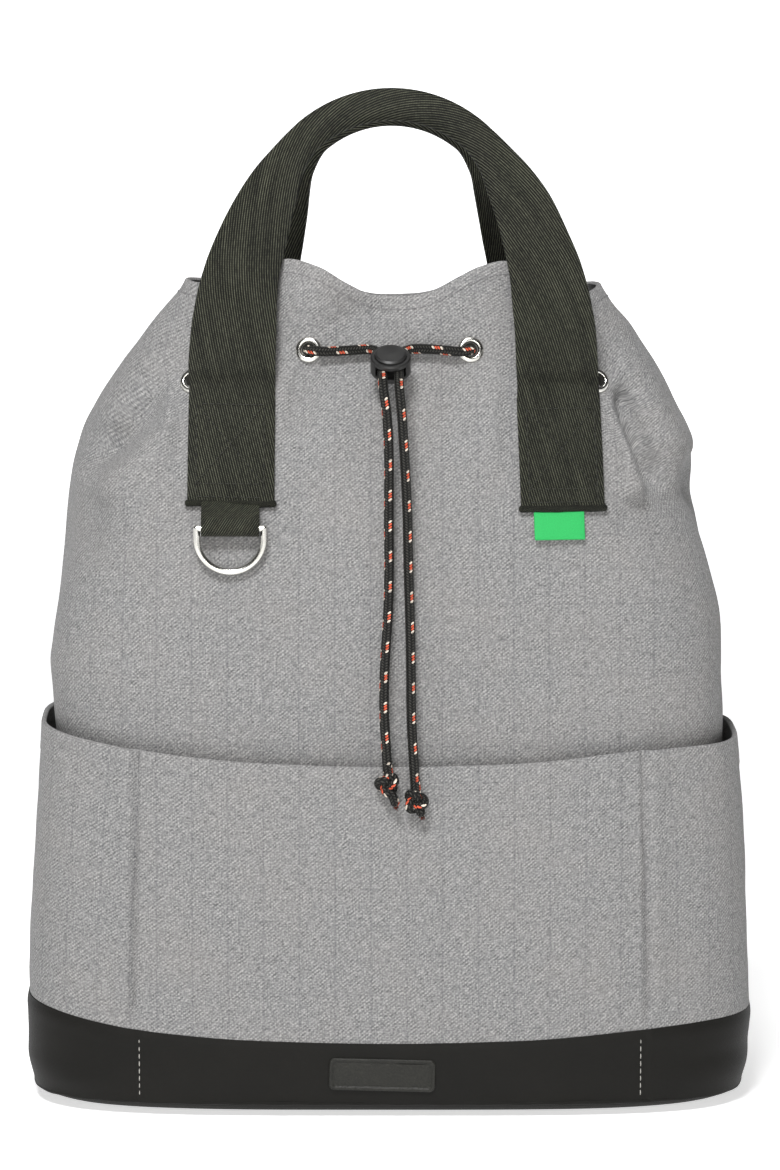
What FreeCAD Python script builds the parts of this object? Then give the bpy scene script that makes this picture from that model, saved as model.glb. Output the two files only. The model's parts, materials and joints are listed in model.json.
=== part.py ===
"""Drawstring carry bag on a rectangular base, millimetres.

Frame: +Z up, -Y towards the front of the bag, +X to the right of someone facing the front.
Origin: the middle of the footprint, on the plane the base stands on.
"""
import FreeCAD, Part
import math
import os

import Sketcher
from FreeCAD import Vector as V

doc = FreeCAD.newDocument("CarryBag")
sheet = doc.addObject("Spreadsheet::Sheet", "Dimensions")
_row = [0]


def cell(alias, value, note=""):
    """One driving number in the sheet, with its alias."""
    _row[0] += 1
    sheet.set("A%d" % _row[0], note or alias.replace("_", " "))
    sheet.set("B%d" % _row[0], repr(float(value)))
    sheet.setAlias("B%d" % _row[0], alias)


# ---------------------------------------------------------------- driving dimensions
for alias, value, note in [
    ("skin_cloth", 2.2, "outer cloth of base and pockets, thickness"),
    ("body_cloth", 1.8, "body cloth, thickness"),
    ("lining_cloth", 0.7, "lining, thickness"),
    ("seam_x", 118.0, "vertical corner seams, from the middle"),
    ("base_low", 8.0, "bottom seam of the base band, height"),
    ("board_long", 292.0, "stiffening board, length"),
    ("board_deep", 126.0, "stiffening board, width"),
    ("board_thick", 2.0, "stiffening board, thickness"),
    ("board_corner", 38.0, "stiffening board, corner radius"),
    ("web_wide", 38.0, "handle webbing, width"),
    ("web_thick", 2.6, "handle webbing with its fold, thickness"),
    ("tab_low", 283.0, "sewn foot of a handle, low end"),
    ("tab_high", 332.8, "sewn foot of a handle, high end"),
    ("grip_bend", 59.2, "grip arch, radius of its middle line"),
    ("grip_sweep", 98.0, "grip arch, angle"),
    ("grip_tall", 15.4, "folded grip, height of its section"),
    ("grip_deep", 7.0, "folded grip, depth of its section"),
    ("rear_bend", 55.5, "rear grip arch, radius of its middle line"),
    ("ring_wire", 1.6, "D ring, wire radius"),
    ("ring_bend", 15.4, "D ring, radius of its middle line"),
    ("ring_side", 4.6, "D ring, straight side"),
    ("loop_wide", 26.6, "D ring loop, webbing width"),
    ("loop_out", 3.4, "D ring loop, outer radius"),
    ("loop_in", 2.0, "D ring loop, inner radius"),
    ("loop_tall", 9.4, "D ring loop, height above the bar"),
    ("loop_neck", 1.3, "D ring loop, half thickness at its top"),
    ("label_long", 23.5, "side label, length"),
    ("label_tall", 13.0, "side label, height"),
    ("label_thick", 0.8, "side label, thickness"),
    ("patch_long", 49.0, "base patch, length"),
    ("patch_tall", 15.0, "base patch, height"),
    ("patch_thick", 1.6, "base patch, thickness"),
    ("patch_round", 3.0, "base patch, corner radius"),
    ("patch_border", 1.3, "base patch, raised border width"),
    ("patch_sink", 0.5, "base patch, depth of its field"),
    ("eye_out", 5.5, "eyelet flange, outer radius"),
    ("eye_hole", 3.1, "eyelet, hole radius"),
    ("eye_neck", 3.6, "eyelet barrel, outer radius"),
    ("eye_flange", 0.6, "eyelet flange, thickness"),
    ("eye_clear", 3.8, "hole in the cloth for an eyelet, radius"),
    ("cord_thick", 4.5, "drawcord, diameter"),
    ("barrel_round", 9.25, "cord lock barrel, radius"),
    ("barrel_tall", 10.3, "cord lock barrel, height"),
    ("barrel_foot", 7.6, "cord lock barrel, radius of its foot"),
    ("barrel_bevel", 2.0, "cord lock barrel, height of the bevel at its foot"),
    ("barrel_bore", 7.5, "cord lock barrel, bore radius"),
    ("barrel_floor", 0.9, "cord lock barrel, floor thickness"),
    ("barrel_lip", 8.7, "cord lock barrel, radius of its top edge"),
    ("slot_wide", 14.0, "cord slot, width"),
    ("slot_mid", 5.7, "cord slot, height of its middle"),
    ("slot_tall", 5.1, "cord slot in the barrel, height"),
    ("plunger_round", 7.3, "cord lock plunger, radius"),
    ("plunger_low", 2.7, "cord lock plunger, low end"),
    ("plunger_high", 12.0, "cord lock plunger, top of the button"),
    ("plunger_top", 6.4, "cord lock button, radius of its top edge"),
    ("plunger_shoulder", 11.2, "cord lock button, height of its shoulder"),
    ("plunger_slot_low", 3.3, "cord slot in the plunger, low edge"),
    ("plunger_slot_high", 10.0, "cord slot in the plunger, high edge"),
    ("spring_turn", 5.0, "cord lock spring, radius"),
    ("spring_wire", 0.25, "cord lock spring, wire radius"),
    ("knot_round", 5.4, "stopper knot, radius"),
    ("knot_up", 5.6, "stopper knot, half height"),
]:
    cell(alias, value, note)

# Plan sections: height, left half width, right half width, front half depth, back half depth, squareness.
SKIN = [
    (8.0, 168.6, 166.4, 82.4, 82.4, 4.0),
    (22.0, 171.2, 169.2, 83.8, 83.8, 4.0),
    (45.0, 171.2, 170.8, 84.0, 84.0, 4.0),
    (80.0, 171.0, 169.6, 84.2, 84.2, 4.0),
    (118.0, 169.2, 168.2, 84.2, 84.2, 4.0),
    (147.0, 167.2, 166.2, 84.0, 84.0, 4.0),
    (184.0, 164.2, 163.0, 83.6, 83.6, 3.9),
]
BODY = [
    (8.4, 165.6, 163.2, 79.4, 79.4, 4.0),
    (24.0, 168.0, 165.8, 81.0, 81.0, 4.0),
    (42.0, 166.5, 165.5, 80.4, 81.4, 4.0),
    (62.0, 162.4, 161.8, 77.0, 81.6, 4.0),
    (90.0, 160.2, 159.6, 76.6, 81.7, 4.0),
    (125.0, 158.6, 158.2, 76.6, 81.6, 4.0),
    (165.0, 157.4, 157.2, 76.8, 81.2, 3.9),
    (192.0, 158.2, 156.6, 77.0, 80.2, 3.8),
    (216.0, 158.2, 155.4, 76.8, 79.0, 3.6),
    (246.0, 156.0, 150.4, 75.4, 76.8, 3.3),
    (272.0, 153.6, 146.0, 72.8, 73.6, 3.0),
    (298.0, 148.6, 142.8, 67.2, 68.0, 2.75),
    (322.0, 139.6, 137.0, 60.0, 60.6, 2.5),
    (345.0, 126.4, 125.6, 52.8, 53.2, 2.3),
    (368.0, 110.0, 111.0, 47.6, 48.0, 2.15),
    (398.0, 88.0, 92.0, 44.4, 44.8, 2.05),
]
TRAY = [
    (0.0, 150.0, 149.0, 66.0, 66.0, 3.8),
    (2.4, 161.0, 159.6, 75.6, 75.6, 3.9),
    (5.0, 166.0, 164.2, 80.0, 80.0, 4.0),
    (8.0, 168.2, 166.0, 82.0, 82.0, 4.0),
]
for tag, table in (("skin", SKIN), ("body", BODY), ("tray", TRAY)):
    for i, line in enumerate(table):
        for part_name, value in zip(("high", "left", "right", "front", "back", "square"), line):
            cell("%s_%s_%d" % (tag, part_name, i + 1), value)
doc.recompute()


def get(alias):
    return float(getattr(sheet, alias))


def table_of(tag, count):
    return [
        tuple(get("%s_%s_%d" % (tag, k, i + 1)) for k in ("high", "left", "right", "front", "back", "square"))
        for i in range(count)
    ]


SKIN = table_of("skin", len(SKIN))
BODY = table_of("body", len(BODY))
TRAY = table_of("tray", len(TRAY))

# ---------------------------------------------------------------- plan sections and shells
ROUND = 40


def section_wire(line, inset=0.0, at=None):
    """A rounded rectangular plan section as one closed spline."""
    z, left, right, front, back, n = line
    pts = []
    for i in range(ROUND):
        f = 2.0 * math.pi * (i + 0.5) / ROUND
        c, s = math.cos(f), math.sin(f)
        k = (abs(c) ** n + abs(s) ** n) ** (-1.0 / n)
        a = (right if c > 0 else left) - inset
        b = (back if s > 0 else front) - inset
        pts.append(V(a * c * k, b * s * k, z if at is None else at))
    curve = Part.BSplineCurve()
    curve.interpolate(Points=pts, PeriodicFlag=True, Parameters=[i / float(ROUND) for i in range(ROUND + 1)])
    return Part.Wire([curve.toShape()])


def between(table, z):
    """A section of the table at any height."""
    if z <= table[0][0]:
        return (z,) + table[0][1:]
    for lo, hi in zip(table, table[1:]):
        if z <= hi[0]:
            t = (z - lo[0]) / (hi[0] - lo[0])
            return (z,) + tuple(p + (q - p) * t for p, q in zip(lo[1:], hi[1:]))
    return (z,) + table[-1][1:]


def solid_of(table, inset=0.0, low=None, high=None):
    """The closed solid inside a table's surface, moved in by inset."""
    lines = list(table)
    if low is not None:
        lines = [between(table, low)] + [p for p in lines if p[0] > low + 4.0]
    if high is not None:
        lines = [p for p in lines if p[0] < high - 4.0] + [between(table, high)]
    return Part.makeLoft([section_wire(p, inset) for p in lines], True, False)


body_solid = solid_of(BODY)
skin_solid = solid_of(SKIN)


def surface_y(x, z, side=-1, solid=None):
    """Depth of the body's outer face at a place seen from the front (side -1) or the back (+1)."""
    ray = Part.makeLine(V(x, 0, z), V(x, side * 160.0, z)).common(solid or body_solid)
    box = ray.BoundBox
    return box.YMin if side < 0 else box.YMax


def normal_at(x, z, side=-1):
    """Outward normal of the body's face."""
    d = 0.5
    gx = (surface_y(x + d, z, side) - surface_y(x - d, z, side)) / (2 * d)
    gz = (surface_y(x, z + d, side) - surface_y(x, z - d, side)) / (2 * d)
    v = V(-gx, 1.0, -gz) if side > 0 else V(gx, -1.0, gz)
    v.normalize()
    return v


def below(points, low=-20.0):
    """The prism under a curve drawn in the front view, 400 mm deep."""
    curve = Part.BSplineCurve()
    curve.interpolate([V(x, -200.0, z) for x, z in points])
    x0, z0 = points[0]
    x1, z1 = points[-1]
    wire = Part.Wire(
        [
            curve.toShape(),
            Part.makeLine(V(x1, -200, z1), V(x1, -200, low)),
            Part.makeLine(V(x1, -200, low), V(x0, -200, low)),
            Part.makeLine(V(x0, -200, low), V(x0, -200, z0)),
        ]
    )
    return Part.Face(wire).extrude(V(0, 400, 0))


def block(x0, x1, y0, y1, z0, z1):
    return Part.makeBox(x1 - x0, y1 - y0, z1 - z0, V(x0, y0, z0))


def feature(name, shape):
    ob = doc.addObject("Part::Feature", name)
    ob.Label = name
    if shape.ShapeType == "Compound" and len(shape.Solids) == 1:
        shape = shape.Solids[0]
    ob.Shape = shape
    return ob


OUTPUT = []


def add(ob):
    OUTPUT.append(ob)
    return ob


# Seam between the dark base and the pockets, and the pocket hem, as seen from the front.
BAND_LINE = [(-185, 51.0), (-171, 49.0), (-148, 44.8), (-118, 40.0), (-60, 35.6), (0, 34.3), (60, 35.6), (118, 40.0), (148, 42.2), (171, 43.0), (185, 43.2)]
HEM_LINE = [(-185, 180.0), (-165, 177.6), (-145, 174.0), (-118, 170.0), (-60, 164.4), (0, 162.6), (60, 164.2), (118, 169.4), (145, 170.2), (165, 170.4), (185, 170.4)]
RIM_LINE = [(-180, 385.0), (-120, 384.6), (-98, 383.8), (-86, 382.2), (-74, 388.0), (-60, 393.6), (-47, 393.8), (-33, 390.2), (-20, 382.5), (-9, 377.6), (2, 376.8), (13, 377.6), (21, 380.0), (32, 385.6), (42, 390.3), (53, 392.8), (65, 391.6), (77, 386.6), (88, 382.2), (100, 381.8), (120, 382.6), (180, 383.0)]

seam = get("seam_x")
cloth = get("skin_cloth")
base_low = get("base_low")

skin = skin_solid.cut(solid_of(SKIN, cloth))
under_band = below(BAND_LINE)
under_hem = below(HEM_LINE)
band = skin.common(under_band)
pocket = skin.common(under_hem).cut(under_band)
big = 400.0
middle_front = block(-seam, seam, -big, 0, -50, 500)
middle_back = block(-seam, seam, 0, big, -50, 500)
left_part = block(-big, -seam, -big, big, -50, 500)
right_part = block(seam, big, -big, big, -50, 500)

add(feature("base_band_front", band.common(middle_front)))
add(feature("base_band_back", band.common(middle_back)))
add(feature("base_band_left", band.common(left_part)))
add(feature("base_band_right", band.common(right_part)))
add(feature("pocket_front", pocket.common(middle_front)))
add(feature("pocket_side_left", pocket.common(left_part)))
add(feature("pocket_side_right", pocket.common(right_part)))
add(feature("base_bottom", solid_of(TRAY)))

# ---------------------------------------------------------------- eyelet places
EYELETS = []  # (x, z, side)
for ex_left, ex_right, ez in ((-37.6, 37.2, 353.5), (-66.0, 68.0, 347.0), (-91.5, 96.0, 338.7)):
    for side in (-1, 1):
        EYELETS.append((ex_left, ez, side))
        EYELETS.append((ex_right, ez, side))


def eye_frame(x, z, side):
    """Where an eyelet sits: its middle on the outer face, and the outward normal."""
    return V(x, surface_y(x, z, side), z), normal_at(x, z, side)


clearance = []
for x, z, side in EYELETS:
    p, n = eye_frame(x, z, side)
    clearance.append(Part.makeCylinder(get("eye_clear"), 16.0, p - n * 10.0, n))
holes = clearance[0].multiFuse(clearance[1:])

# ---------------------------------------------------------------- body cloth, facing and lining
t_body = get("body_cloth")
t_line = get("lining_cloth")
under_rim = below(RIM_LINE)
shell = body_solid.cut(solid_of(BODY, t_body)).common(under_rim).cut(holes)
add(feature("body_front_panel", shell.common(block(-big, big, -big, 0, -50, 500))))
add(feature("body_back_panel", shell.common(block(-big, big, 0, big, -50, 500))))

facing_low = 324.0
in1 = t_body + 0.15
facing = solid_of(BODY, in1).cut(solid_of(BODY, in1 + t_line)).common(under_rim).cut(holes)
facing = facing.common(block(-big, big, -big, big, facing_low, 500))
add(feature("mouth_facing", facing))

lining = solid_of(BODY, in1).cut(solid_of(BODY, in1 + t_line)).common(block(-big, big, -big, big, 10.9, facing_low - 0.2))
floor = solid_of(BODY, in1 + 0.05).common(block(-big, big, -big, big, 10.9, 10.9 + t_line))
lining = lining.fuse(floor).removeSplitter()
add(feature("lining", lining))


# ---------------------------------------------------------------- sketch helpers
def plane_of(body, role):
    for item in body.Origin.OriginFeatures:
        if item.Role == role:
            return item
    raise RuntimeError(role)


def new_body(name):
    body = doc.addObject("PartDesign::Body", name)
    body.Label = name
    return body


def sketch_in(body, name, role):
    sk = body.newObject("Sketcher::SketchObject", name)
    sk.AttachmentSupport = [(plane_of(body, role), "")]
    sk.MapMode = "FlatFace"
    return sk


def expr_value(text):
    """The number a simple expression of sheet aliases gives."""
    names = {}
    for word in text.replace("*", " ").replace("+", " ").replace("-", " ").replace("/", " ").replace("(", " ").replace(")", " ").split():
        if word[0].isalpha():
            names[word] = get(word)
    total, sign, term, factor = 0.0, 1.0, None, "*"
    token = ""
    for ch in text + "+":
        if ch in "+-*/":
            if token.strip():
                w = token.strip()
                v = names[w] if w in names else float(w)
                term = v if term is None else (term * v if factor == "*" else term / v)
            token = ""
            if ch in "*/":
                factor = ch
            else:
                if term is not None:
                    total += sign * term
                term = None
                sign = 1.0 if ch == "+" else -1.0
        else:
            token += ch
    return total


def outline(sk, corners, label):
    """A closed run of straight edges; each corner's place is bound to the sheet."""
    values = [(expr_value(a), expr_value(b)) for a, b in corners]
    count = len(values)
    for i in range(count):
        x0, y0 = values[i]
        x1, y1 = values[(i + 1) % count]
        sk.addGeometry(Part.LineSegment(V(x0, y0, 0), V(x1, y1, 0)), False)
    for i in range(count):
        sk.addConstraint(Sketcher.Constraint("Coincident", i, 2, (i + 1) % count, 1))
    for i, (a, b) in enumerate(corners):
        for axis, text, value in (("X", a, values[i][0]), ("Y", b, values[i][1])):
            if abs(value) < 1e-9:
                sk.addConstraint(Sketcher.Constraint("PointOnObject", i, 1, -2 if axis == "X" else -1))
            else:
                k = sk.addConstraint(Sketcher.Constraint("Distance" + axis, -1, 1, i, 1, value))
                name = "%s_%s%d" % (label, axis.lower(), i)
                sk.renameConstraint(k, name)
                words = text
                for w in sorted(set(text.replace("*", " ").replace("+", " ").replace("-", " ").replace("/", " ").split()), key=len, reverse=True):
                    if w[0].isalpha():
                        words = words.replace(w, "<<" + w + ">>")
                words = words.replace("<<", "Dimensions.").replace(">>", "")
                sk.setExpression("Constraints." + name, words)


def circle(sk, cx, cy, radius_text, label):
    g = sk.addGeometry(Part.Circle(V(cx, cy, 0), V(0, 0, 1), expr_value(radius_text)), False)
    if abs(cx) < 1e-9 and abs(cy) < 1e-9:
        sk.addConstraint(Sketcher.Constraint("Coincident", g, 3, -1, 1))
    k = sk.addConstraint(Sketcher.Constraint("Radius", g, expr_value(radius_text)))
    sk.renameConstraint(k, label)
    sk.setExpression("Constraints." + label, "Dimensions." + radius_text)


def pad_of(body, sk, name, length, midplane=True):
    pad = body.newObject("PartDesign::Pad", name)
    pad.Profile = sk
    pad.Midplane = midplane
    pad.setExpression("Length", "Dimensions." + length)
    doc.recompute()
    return pad


def upright_edges(shape, direction):
    names = []
    for i, e in enumerate(shape.Edges):
        if len(e.Vertexes) == 2:
            d = (e.Vertexes[1].Point - e.Vertexes[0].Point)
            if d.Length > 1e-6 and abs(abs(d.normalize().dot(direction)) - 1.0) < 1e-6:
                names.append("Edge%d" % (i + 1))
    return names


def round_edges(body, base, names, name, radius):
    fil = body.newObject("PartDesign::Fillet", name)
    fil.Base = (base, names)
    fil.setExpression("Radius", "Dimensions." + radius)
    doc.recompute()
    return fil


# ---------------------------------------------------------------- stiffening board
board = new_body("base_board")
sk = sketch_in(board, "board_outline", "XY_Plane")
outline(sk, [("-board_long/2", "-board_deep/2"), ("board_long/2", "-board_deep/2"), ("board_long/2", "board_deep/2"), ("-board_long/2", "board_deep/2")], "bo")
pad = pad_of(board, sk, "board_pad", "board_thick", False)
round_edges(board, pad, upright_edges(pad.Shape, V(0, 0, 1)), "board_round", "board_corner")
board.Placement = FreeCAD.Placement(V(0, 0, 8.5), FreeCAD.Rotation())
add(board)

# ---------------------------------------------------------------- base patch, bare, with a raised border
patch_x, patch_z = -3.6, 20.4
patch_y = surface_y(patch_x, patch_z, -1, skin_solid)
patch = new_body("base_patch")
sk = sketch_in(patch, "patch_outline", "XZ_Plane")
outline(sk, [("-patch_long/2", "-patch_tall/2"), ("patch_long/2", "-patch_tall/2"), ("patch_long/2", "patch_tall/2"), ("-patch_long/2", "patch_tall/2")], "po")
pad = pad_of(patch, sk, "patch_pad", "patch_thick", False)
fil = round_edges(patch, pad, upright_edges(pad.Shape, V(0, 1, 0)), "patch_corners", "patch_round")
box = pad.Shape.BoundBox
sk2 = sketch_in(patch, "patch_field", "XZ_Plane")
outline(sk2, [("patch_border-patch_long/2", "patch_border-patch_tall/2"), ("patch_long/2-patch_border", "patch_border-patch_tall/2"), ("patch_long/2-patch_border", "patch_tall/2-patch_border"), ("patch_border-patch_long/2", "patch_tall/2-patch_border")], "pf")
# The XZ plane's normal points to -Y, so the pad stands out towards the front of the bag.
front_y = box.YMin if abs(box.YMin) > abs(box.YMax) else box.YMax
sk2.AttachmentOffset = FreeCAD.Placement(V(0, 0, get("patch_thick") - get("patch_sink")), FreeCAD.Rotation())
sk2.setExpression("AttachmentOffset.Base.z", "Dimensions.patch_thick - Dimensions.patch_sink")
before = fil.Shape.Volume
cut = patch.newObject("PartDesign::Pocket", "patch_sink_cut")
cut.Profile = sk2
cut.setExpression("Length", "Dimensions.patch_sink")
cut.Reversed = True
doc.recompute()
if cut.Shape.Volume > before - 50.0:
    cut.Reversed = False
    doc.recompute()
if cut.Shape.Volume > before - 50.0:
    raise RuntimeError("the patch field was not cut")
patch.Placement = FreeCAD.Placement(V(patch_x, patch_y - 0.4, patch_z), FreeCAD.Rotation(V(0, 1, 0), 1.4))
add(patch)

# ---------------------------------------------------------------- side label, bare
label_x, label_z = 77.8, 273.6
label_y = surface_y(label_x, label_z, -1)
label_lean = math.degrees(math.atan2(surface_y(label_x, label_z + 6, -1) - surface_y(label_x, label_z - 6, -1), 12.0))
label = new_body("side_label")
sk = sketch_in(label, "label_outline", "XZ_Plane")
outline(sk, [("-label_long/2", "-label_tall/2"), ("label_long/2", "-label_tall/2"), ("label_long/2", "label_tall/2"), ("-label_long/2", "label_tall/2")], "lo")
pad_of(label, sk, "label_pad", "label_thick", False)
label_turn = math.degrees(math.atan2(surface_y(label_x + 8, label_z, -1) - surface_y(label_x - 8, label_z, -1), 16.0))
label.Placement = FreeCAD.Placement(
    V(label_x, label_y - 1.15, label_z), FreeCAD.Rotation(V(0, 0, 1), label_turn).multiply(FreeCAD.Rotation(V(1, 0, 0), -label_lean))
)
add(label)


# ---------------------------------------------------------------- sewn feet of the handles
def sewn_foot(name, x_low, x_high, z_low, z_high, side, lean=0.0):
    """Webbing lying on the body's face: a 38 mm strip between two offsets of that face."""
    t = get("web_thick")
    w = get("web_wide") / 2.0
    outer = solid_of(BODY, -0.25 - t, 262.0, 352.0)
    inner = solid_of(BODY, -0.25, 262.0, 352.0)
    strip = Part.Face(
        Part.makePolygon(
            [V(x_low - w, -200, z_low), V(x_low + w, -200, z_low), V(x_high + w, -200, z_high), V(x_high - w, -200, z_high), V(x_low - w, -200, z_low)]
        )
    ).extrude(V(0, 400, 0))
    half = block(-big, big, -big, 0, 0, 500) if side < 0 else block(-big, big, 0, big, 0, 500)
    return add(feature(name, outer.cut(inner).common(strip).common(half)))


tab_low, tab_high = get("tab_low"), get("tab_high")
FRONT_X = (-73.0, 77.8)
REAR_X = (-67.5, 71.5)
sewn_foot("front_handle_foot_left", -73.2, FRONT_X[0], tab_low, tab_high, -1)
sewn_foot("front_handle_foot_right", 79.6, FRONT_X[1], tab_low - 2.4, tab_high, -1)
sewn_foot("rear_handle_foot_left", -67.5, REAR_X[0], tab_low, tab_high, 1)
sewn_foot("rear_handle_foot_right", 71.5, REAR_X[1], tab_low, tab_high, 1)


# ---------------------------------------------------------------- handle legs and grips
def leg(stations, side):
    """Webbing that rises off the bag: flat sections joined one to the next."""
    t = get("web_thick")
    wires = []
    for i, (x, y, z, w, lean, yaw) in enumerate(stations):
        # along the width, then along the thickness
        wide = V(math.cos(math.radians(lean)) * math.cos(math.radians(yaw)), math.sin(math.radians(yaw)), math.sin(math.radians(lean)))
        wide.normalize()
        wide = wide * (w / 2.0)
        a = stations[max(i - 1, 0)]
        b = stations[min(i + 1, len(stations) - 1)]
        along = V(b[0] - a[0], b[1] - a[1], b[2] - a[2])
        if i == 0:
            along = V(0, 0, 1)
        thick = along.cross(wide)
        thick.normalize()
        if thick.y * side < 0:
            thick = thick * -1.0
        thick = thick * (t / 2.0)
        p = V(x, y, z)
        wires.append(
            Part.makePolygon([p - wide - thick, p + wide - thick, p + wide + thick, p - wide + thick, p - wide - thick])
        )
    return Part.makeLoft(wires, True, True)


# height, middle, width across, lean of the width line in degrees
FRONT_LEFT = [(335.0, -73.0, 38.0, 0), (345, -73.0, 38.4, 0), (360, -72.2, 38.0, -2), (376, -70.8, 36.5, -5), (390, -68.2, 34.5, -11), (404, -63.8, 32.0, -17), (418, -58.6, 28.0, -23), (431, -52.8, 23.0, -30), (441.5, -46.8, 17.6, -38), (448.6, -40.0, 14.6, -44)]
FRONT_RIGHT = [(335.0, 77.8, 38.0, 0), (345, 77.2, 38.0, 0), (360, 76.4, 37.6, 2), (376, 74.4, 36.2, 5), (390, 71.8, 33.5, 11), (404, 67.4, 30.5, 17), (418, 62.2, 27.5, 23), (431, 55.4, 23.0, 30), (441.5, 48.6, 17.6, 38), (448.6, 41.8, 14.6, 44)]
REAR_LEFT = [(335.0, -67.5, 38.0, 0), (345, -66.6, 38.0, 0), (360, -65.0, 38.0, -2), (376, -63.0, 36.5, -5), (390, -61.0, 35.0, -9), (404, -57.6, 33.0, -14), (418, -53.2, 29.0, -20), (430, -48.4, 23.0, -28), (439.5, -43.2, 17.2, -38), (446.8, -36.6, 14.2, -44)]
REAR_RIGHT = [(335.0, 71.5, 38.0, 0), (345, 70.4, 38.0, 0), (360, 68.8, 38.0, 2), (376, 66.6, 36.5, 5), (390, 64.2, 34.5, 9), (404, 60.4, 32.5, 14), (418, 55.6, 28.5, 20), (430, 50.2, 23.0, 28), (439.5, 44.8, 17.2, 38), (446.8, 38.2, 14.2, 44)]
# How far forward of the cloth's chord the webbing's middle stands, against the height above the feet.
STAND = [(0.0, 2.9), (10.0, 5.4), (25.0, 5.6), (41.0, 1.6), (55.0, -3.6), (69.0, -10.5), (83.0, -17.5), (96.0, -23.6), (107.0, -27.6), (114.0, -30.4), (132.0, -35.6), (140.0, -37.6)]


def stand(z):
    h = z - 335.0
    for (h0, v0), (h1, v1) in zip(STAND, STAND[1:]):
        if h <= h1:
            return v0 + (v1 - v0) * (h - h0) / (h1 - h0)
    return STAND[-1][1]


def chord(table, side):
    """Depth and turn, in plan, of the cloth behind the bottom of a leg."""
    z, x, w = table[0][0], table[0][1], table[0][2] / 2.0
    ya, yb = surface_y(x - w, z, side), surface_y(x + w, z, side)
    return (ya + yb) / 2.0, math.degrees(math.atan2(yb - ya, 2.0 * w))


def handle(left, right, side):
    """Stations of both legs; they start on their own feet and end on one grip."""
    bases = [chord(left, side), chord(right, side)]
    common = (bases[0][0] + bases[1][0]) / 2.0
    out = []
    for table, (base, turn) in zip((left, right), bases):
        rows = []
        for z, x, w, lean in table:
            fade = max(0.0, 1.0 - (z - 335.0) / 70.0)
            rows.append((x, common + (base - common) * fade + side * stand(z), z, w, lean, turn * max(0.0, 1.0 - (z - 335.0) / 60.0)))
        out.append(rows)
    return out[0], out[1], common


front_left, front_right, front_common = handle(FRONT_LEFT, FRONT_RIGHT, -1)
rear_left, rear_right, rear_common = handle(REAR_LEFT, REAR_RIGHT, 1)
add(feature("front_handle_leg_left", leg(front_left, -1)))
add(feature("front_handle_leg_right", leg(front_right, -1)))
add(feature("rear_handle_leg_left", leg(rear_left, 1)))
add(feature("rear_handle_leg_right", leg(rear_right, 1)))

# The fold line of each handle runs along the front of its feet, at their top.
web = get("web_thick")
front_axis_y = min(surface_y(-54.0, tab_high, -1), surface_y(58.8, tab_high, -1)) - 1.2 - web
rear_axis_y = max(surface_y(-48.5, tab_high, 1), surface_y(52.5, tab_high, 1)) + 1.2 + web
axis_z = tab_high + 0.4


def grip(name, bend, middle_x, top_z, common, side):
    """The folded grip: a rounded section turned through an arch that leans over the mouth."""
    body = new_body(name)
    sk = sketch_in(body, name + "_section", "YZ_Plane")
    hy, hz = get("grip_deep") / 2.0, get("grip_tall") / 2.0
    r = get(bend)
    el = sk.addGeometry(Part.Ellipse(V(0, r + hz, 0), V(hy, r, 0), V(0, r, 0)), False)
    sk.exposeInternalGeometry(el)
    k = sk.addConstraint(Sketcher.Constraint("DistanceY", -1, 1, el, 3, r))
    sk.renameConstraint(k, "bend")
    sk.setExpression("Constraints.bend", "Dimensions." + bend)
    sk.addConstraint(Sketcher.Constraint("PointOnObject", el, 3, -2))
    doc.recompute()
    rev = body.newObject("PartDesign::Revolution", name + "_arch")
    rev.Profile = sk
    rev.ReferenceAxis = (sk, ["H_Axis"])
    rev.Midplane = True
    rev.setExpression("Angle", "Dimensions.grip_sweep")
    doc.recompute()
    lean = math.degrees(math.atan2(7.0, 24.0)) * side * -1.0
    mid_z = top_z - hz
    mid_y = common + side * stand(mid_z + 1.0)
    rot = FreeCAD.Rotation(V(1, 0, 0), -lean)
    # the arch's crown sits at (middle_x, mid_y, mid_z)
    shift = V(middle_x, mid_y, mid_z) - rot.multVec(V(0, 0, r))
    body.Placement = FreeCAD.Placement(shift, rot)
    return add(body)


grip("front_handle_grip", "grip_bend", 0.6, 474.0, front_common, -1)
grip("rear_handle_grip", "rear_bend", 0.8, 471.6, rear_common, 1)

# ---------------------------------------------------------------- D ring and its loop
ring_x = -73.2
bar_z = 273.0
ring_y = min(surface_y(ring_x + 14.0, bar_z - 4.0, -1) - 0.3 - get("loop_out"), surface_y(ring_x, 251.0, -1) - 0.5 - get("ring_wire"))

loop = new_body("d_ring_loop")
sk = sketch_in(loop, "loop_section", "YZ_Plane")
arc = []
values = []
ro = "loop_out"
corners = [("-loop_neck", "loop_tall"), ("-loop_out", "0.4")]
for deg in range(200, 341, 20):
    corners.append(("%.6f*loop_out" % math.cos(math.radians(deg)) if math.cos(math.radians(deg)) > 0 else "0-%.6f*loop_out" % abs(math.cos(math.radians(deg))), "0-%.6f*loop_out" % abs(math.sin(math.radians(deg)))))
corners += [("loop_out", "0.4"), ("loop_neck", "loop_tall")]
outline(sk, corners, "lp")
circle(sk, 0, 0, "loop_in", "loop_hole")
pad_of(loop, sk, "loop_pad", "loop_wide", True)
loop.Placement = FreeCAD.Placement(V(ring_x, ring_y, bar_z), FreeCAD.Rotation())
add(loop)


def primitive(kind, name, **binds):
    ob = doc.addObject(kind, name)
    for prop, text in binds.items():
        ob.setExpression(prop, text)
    return ob


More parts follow.
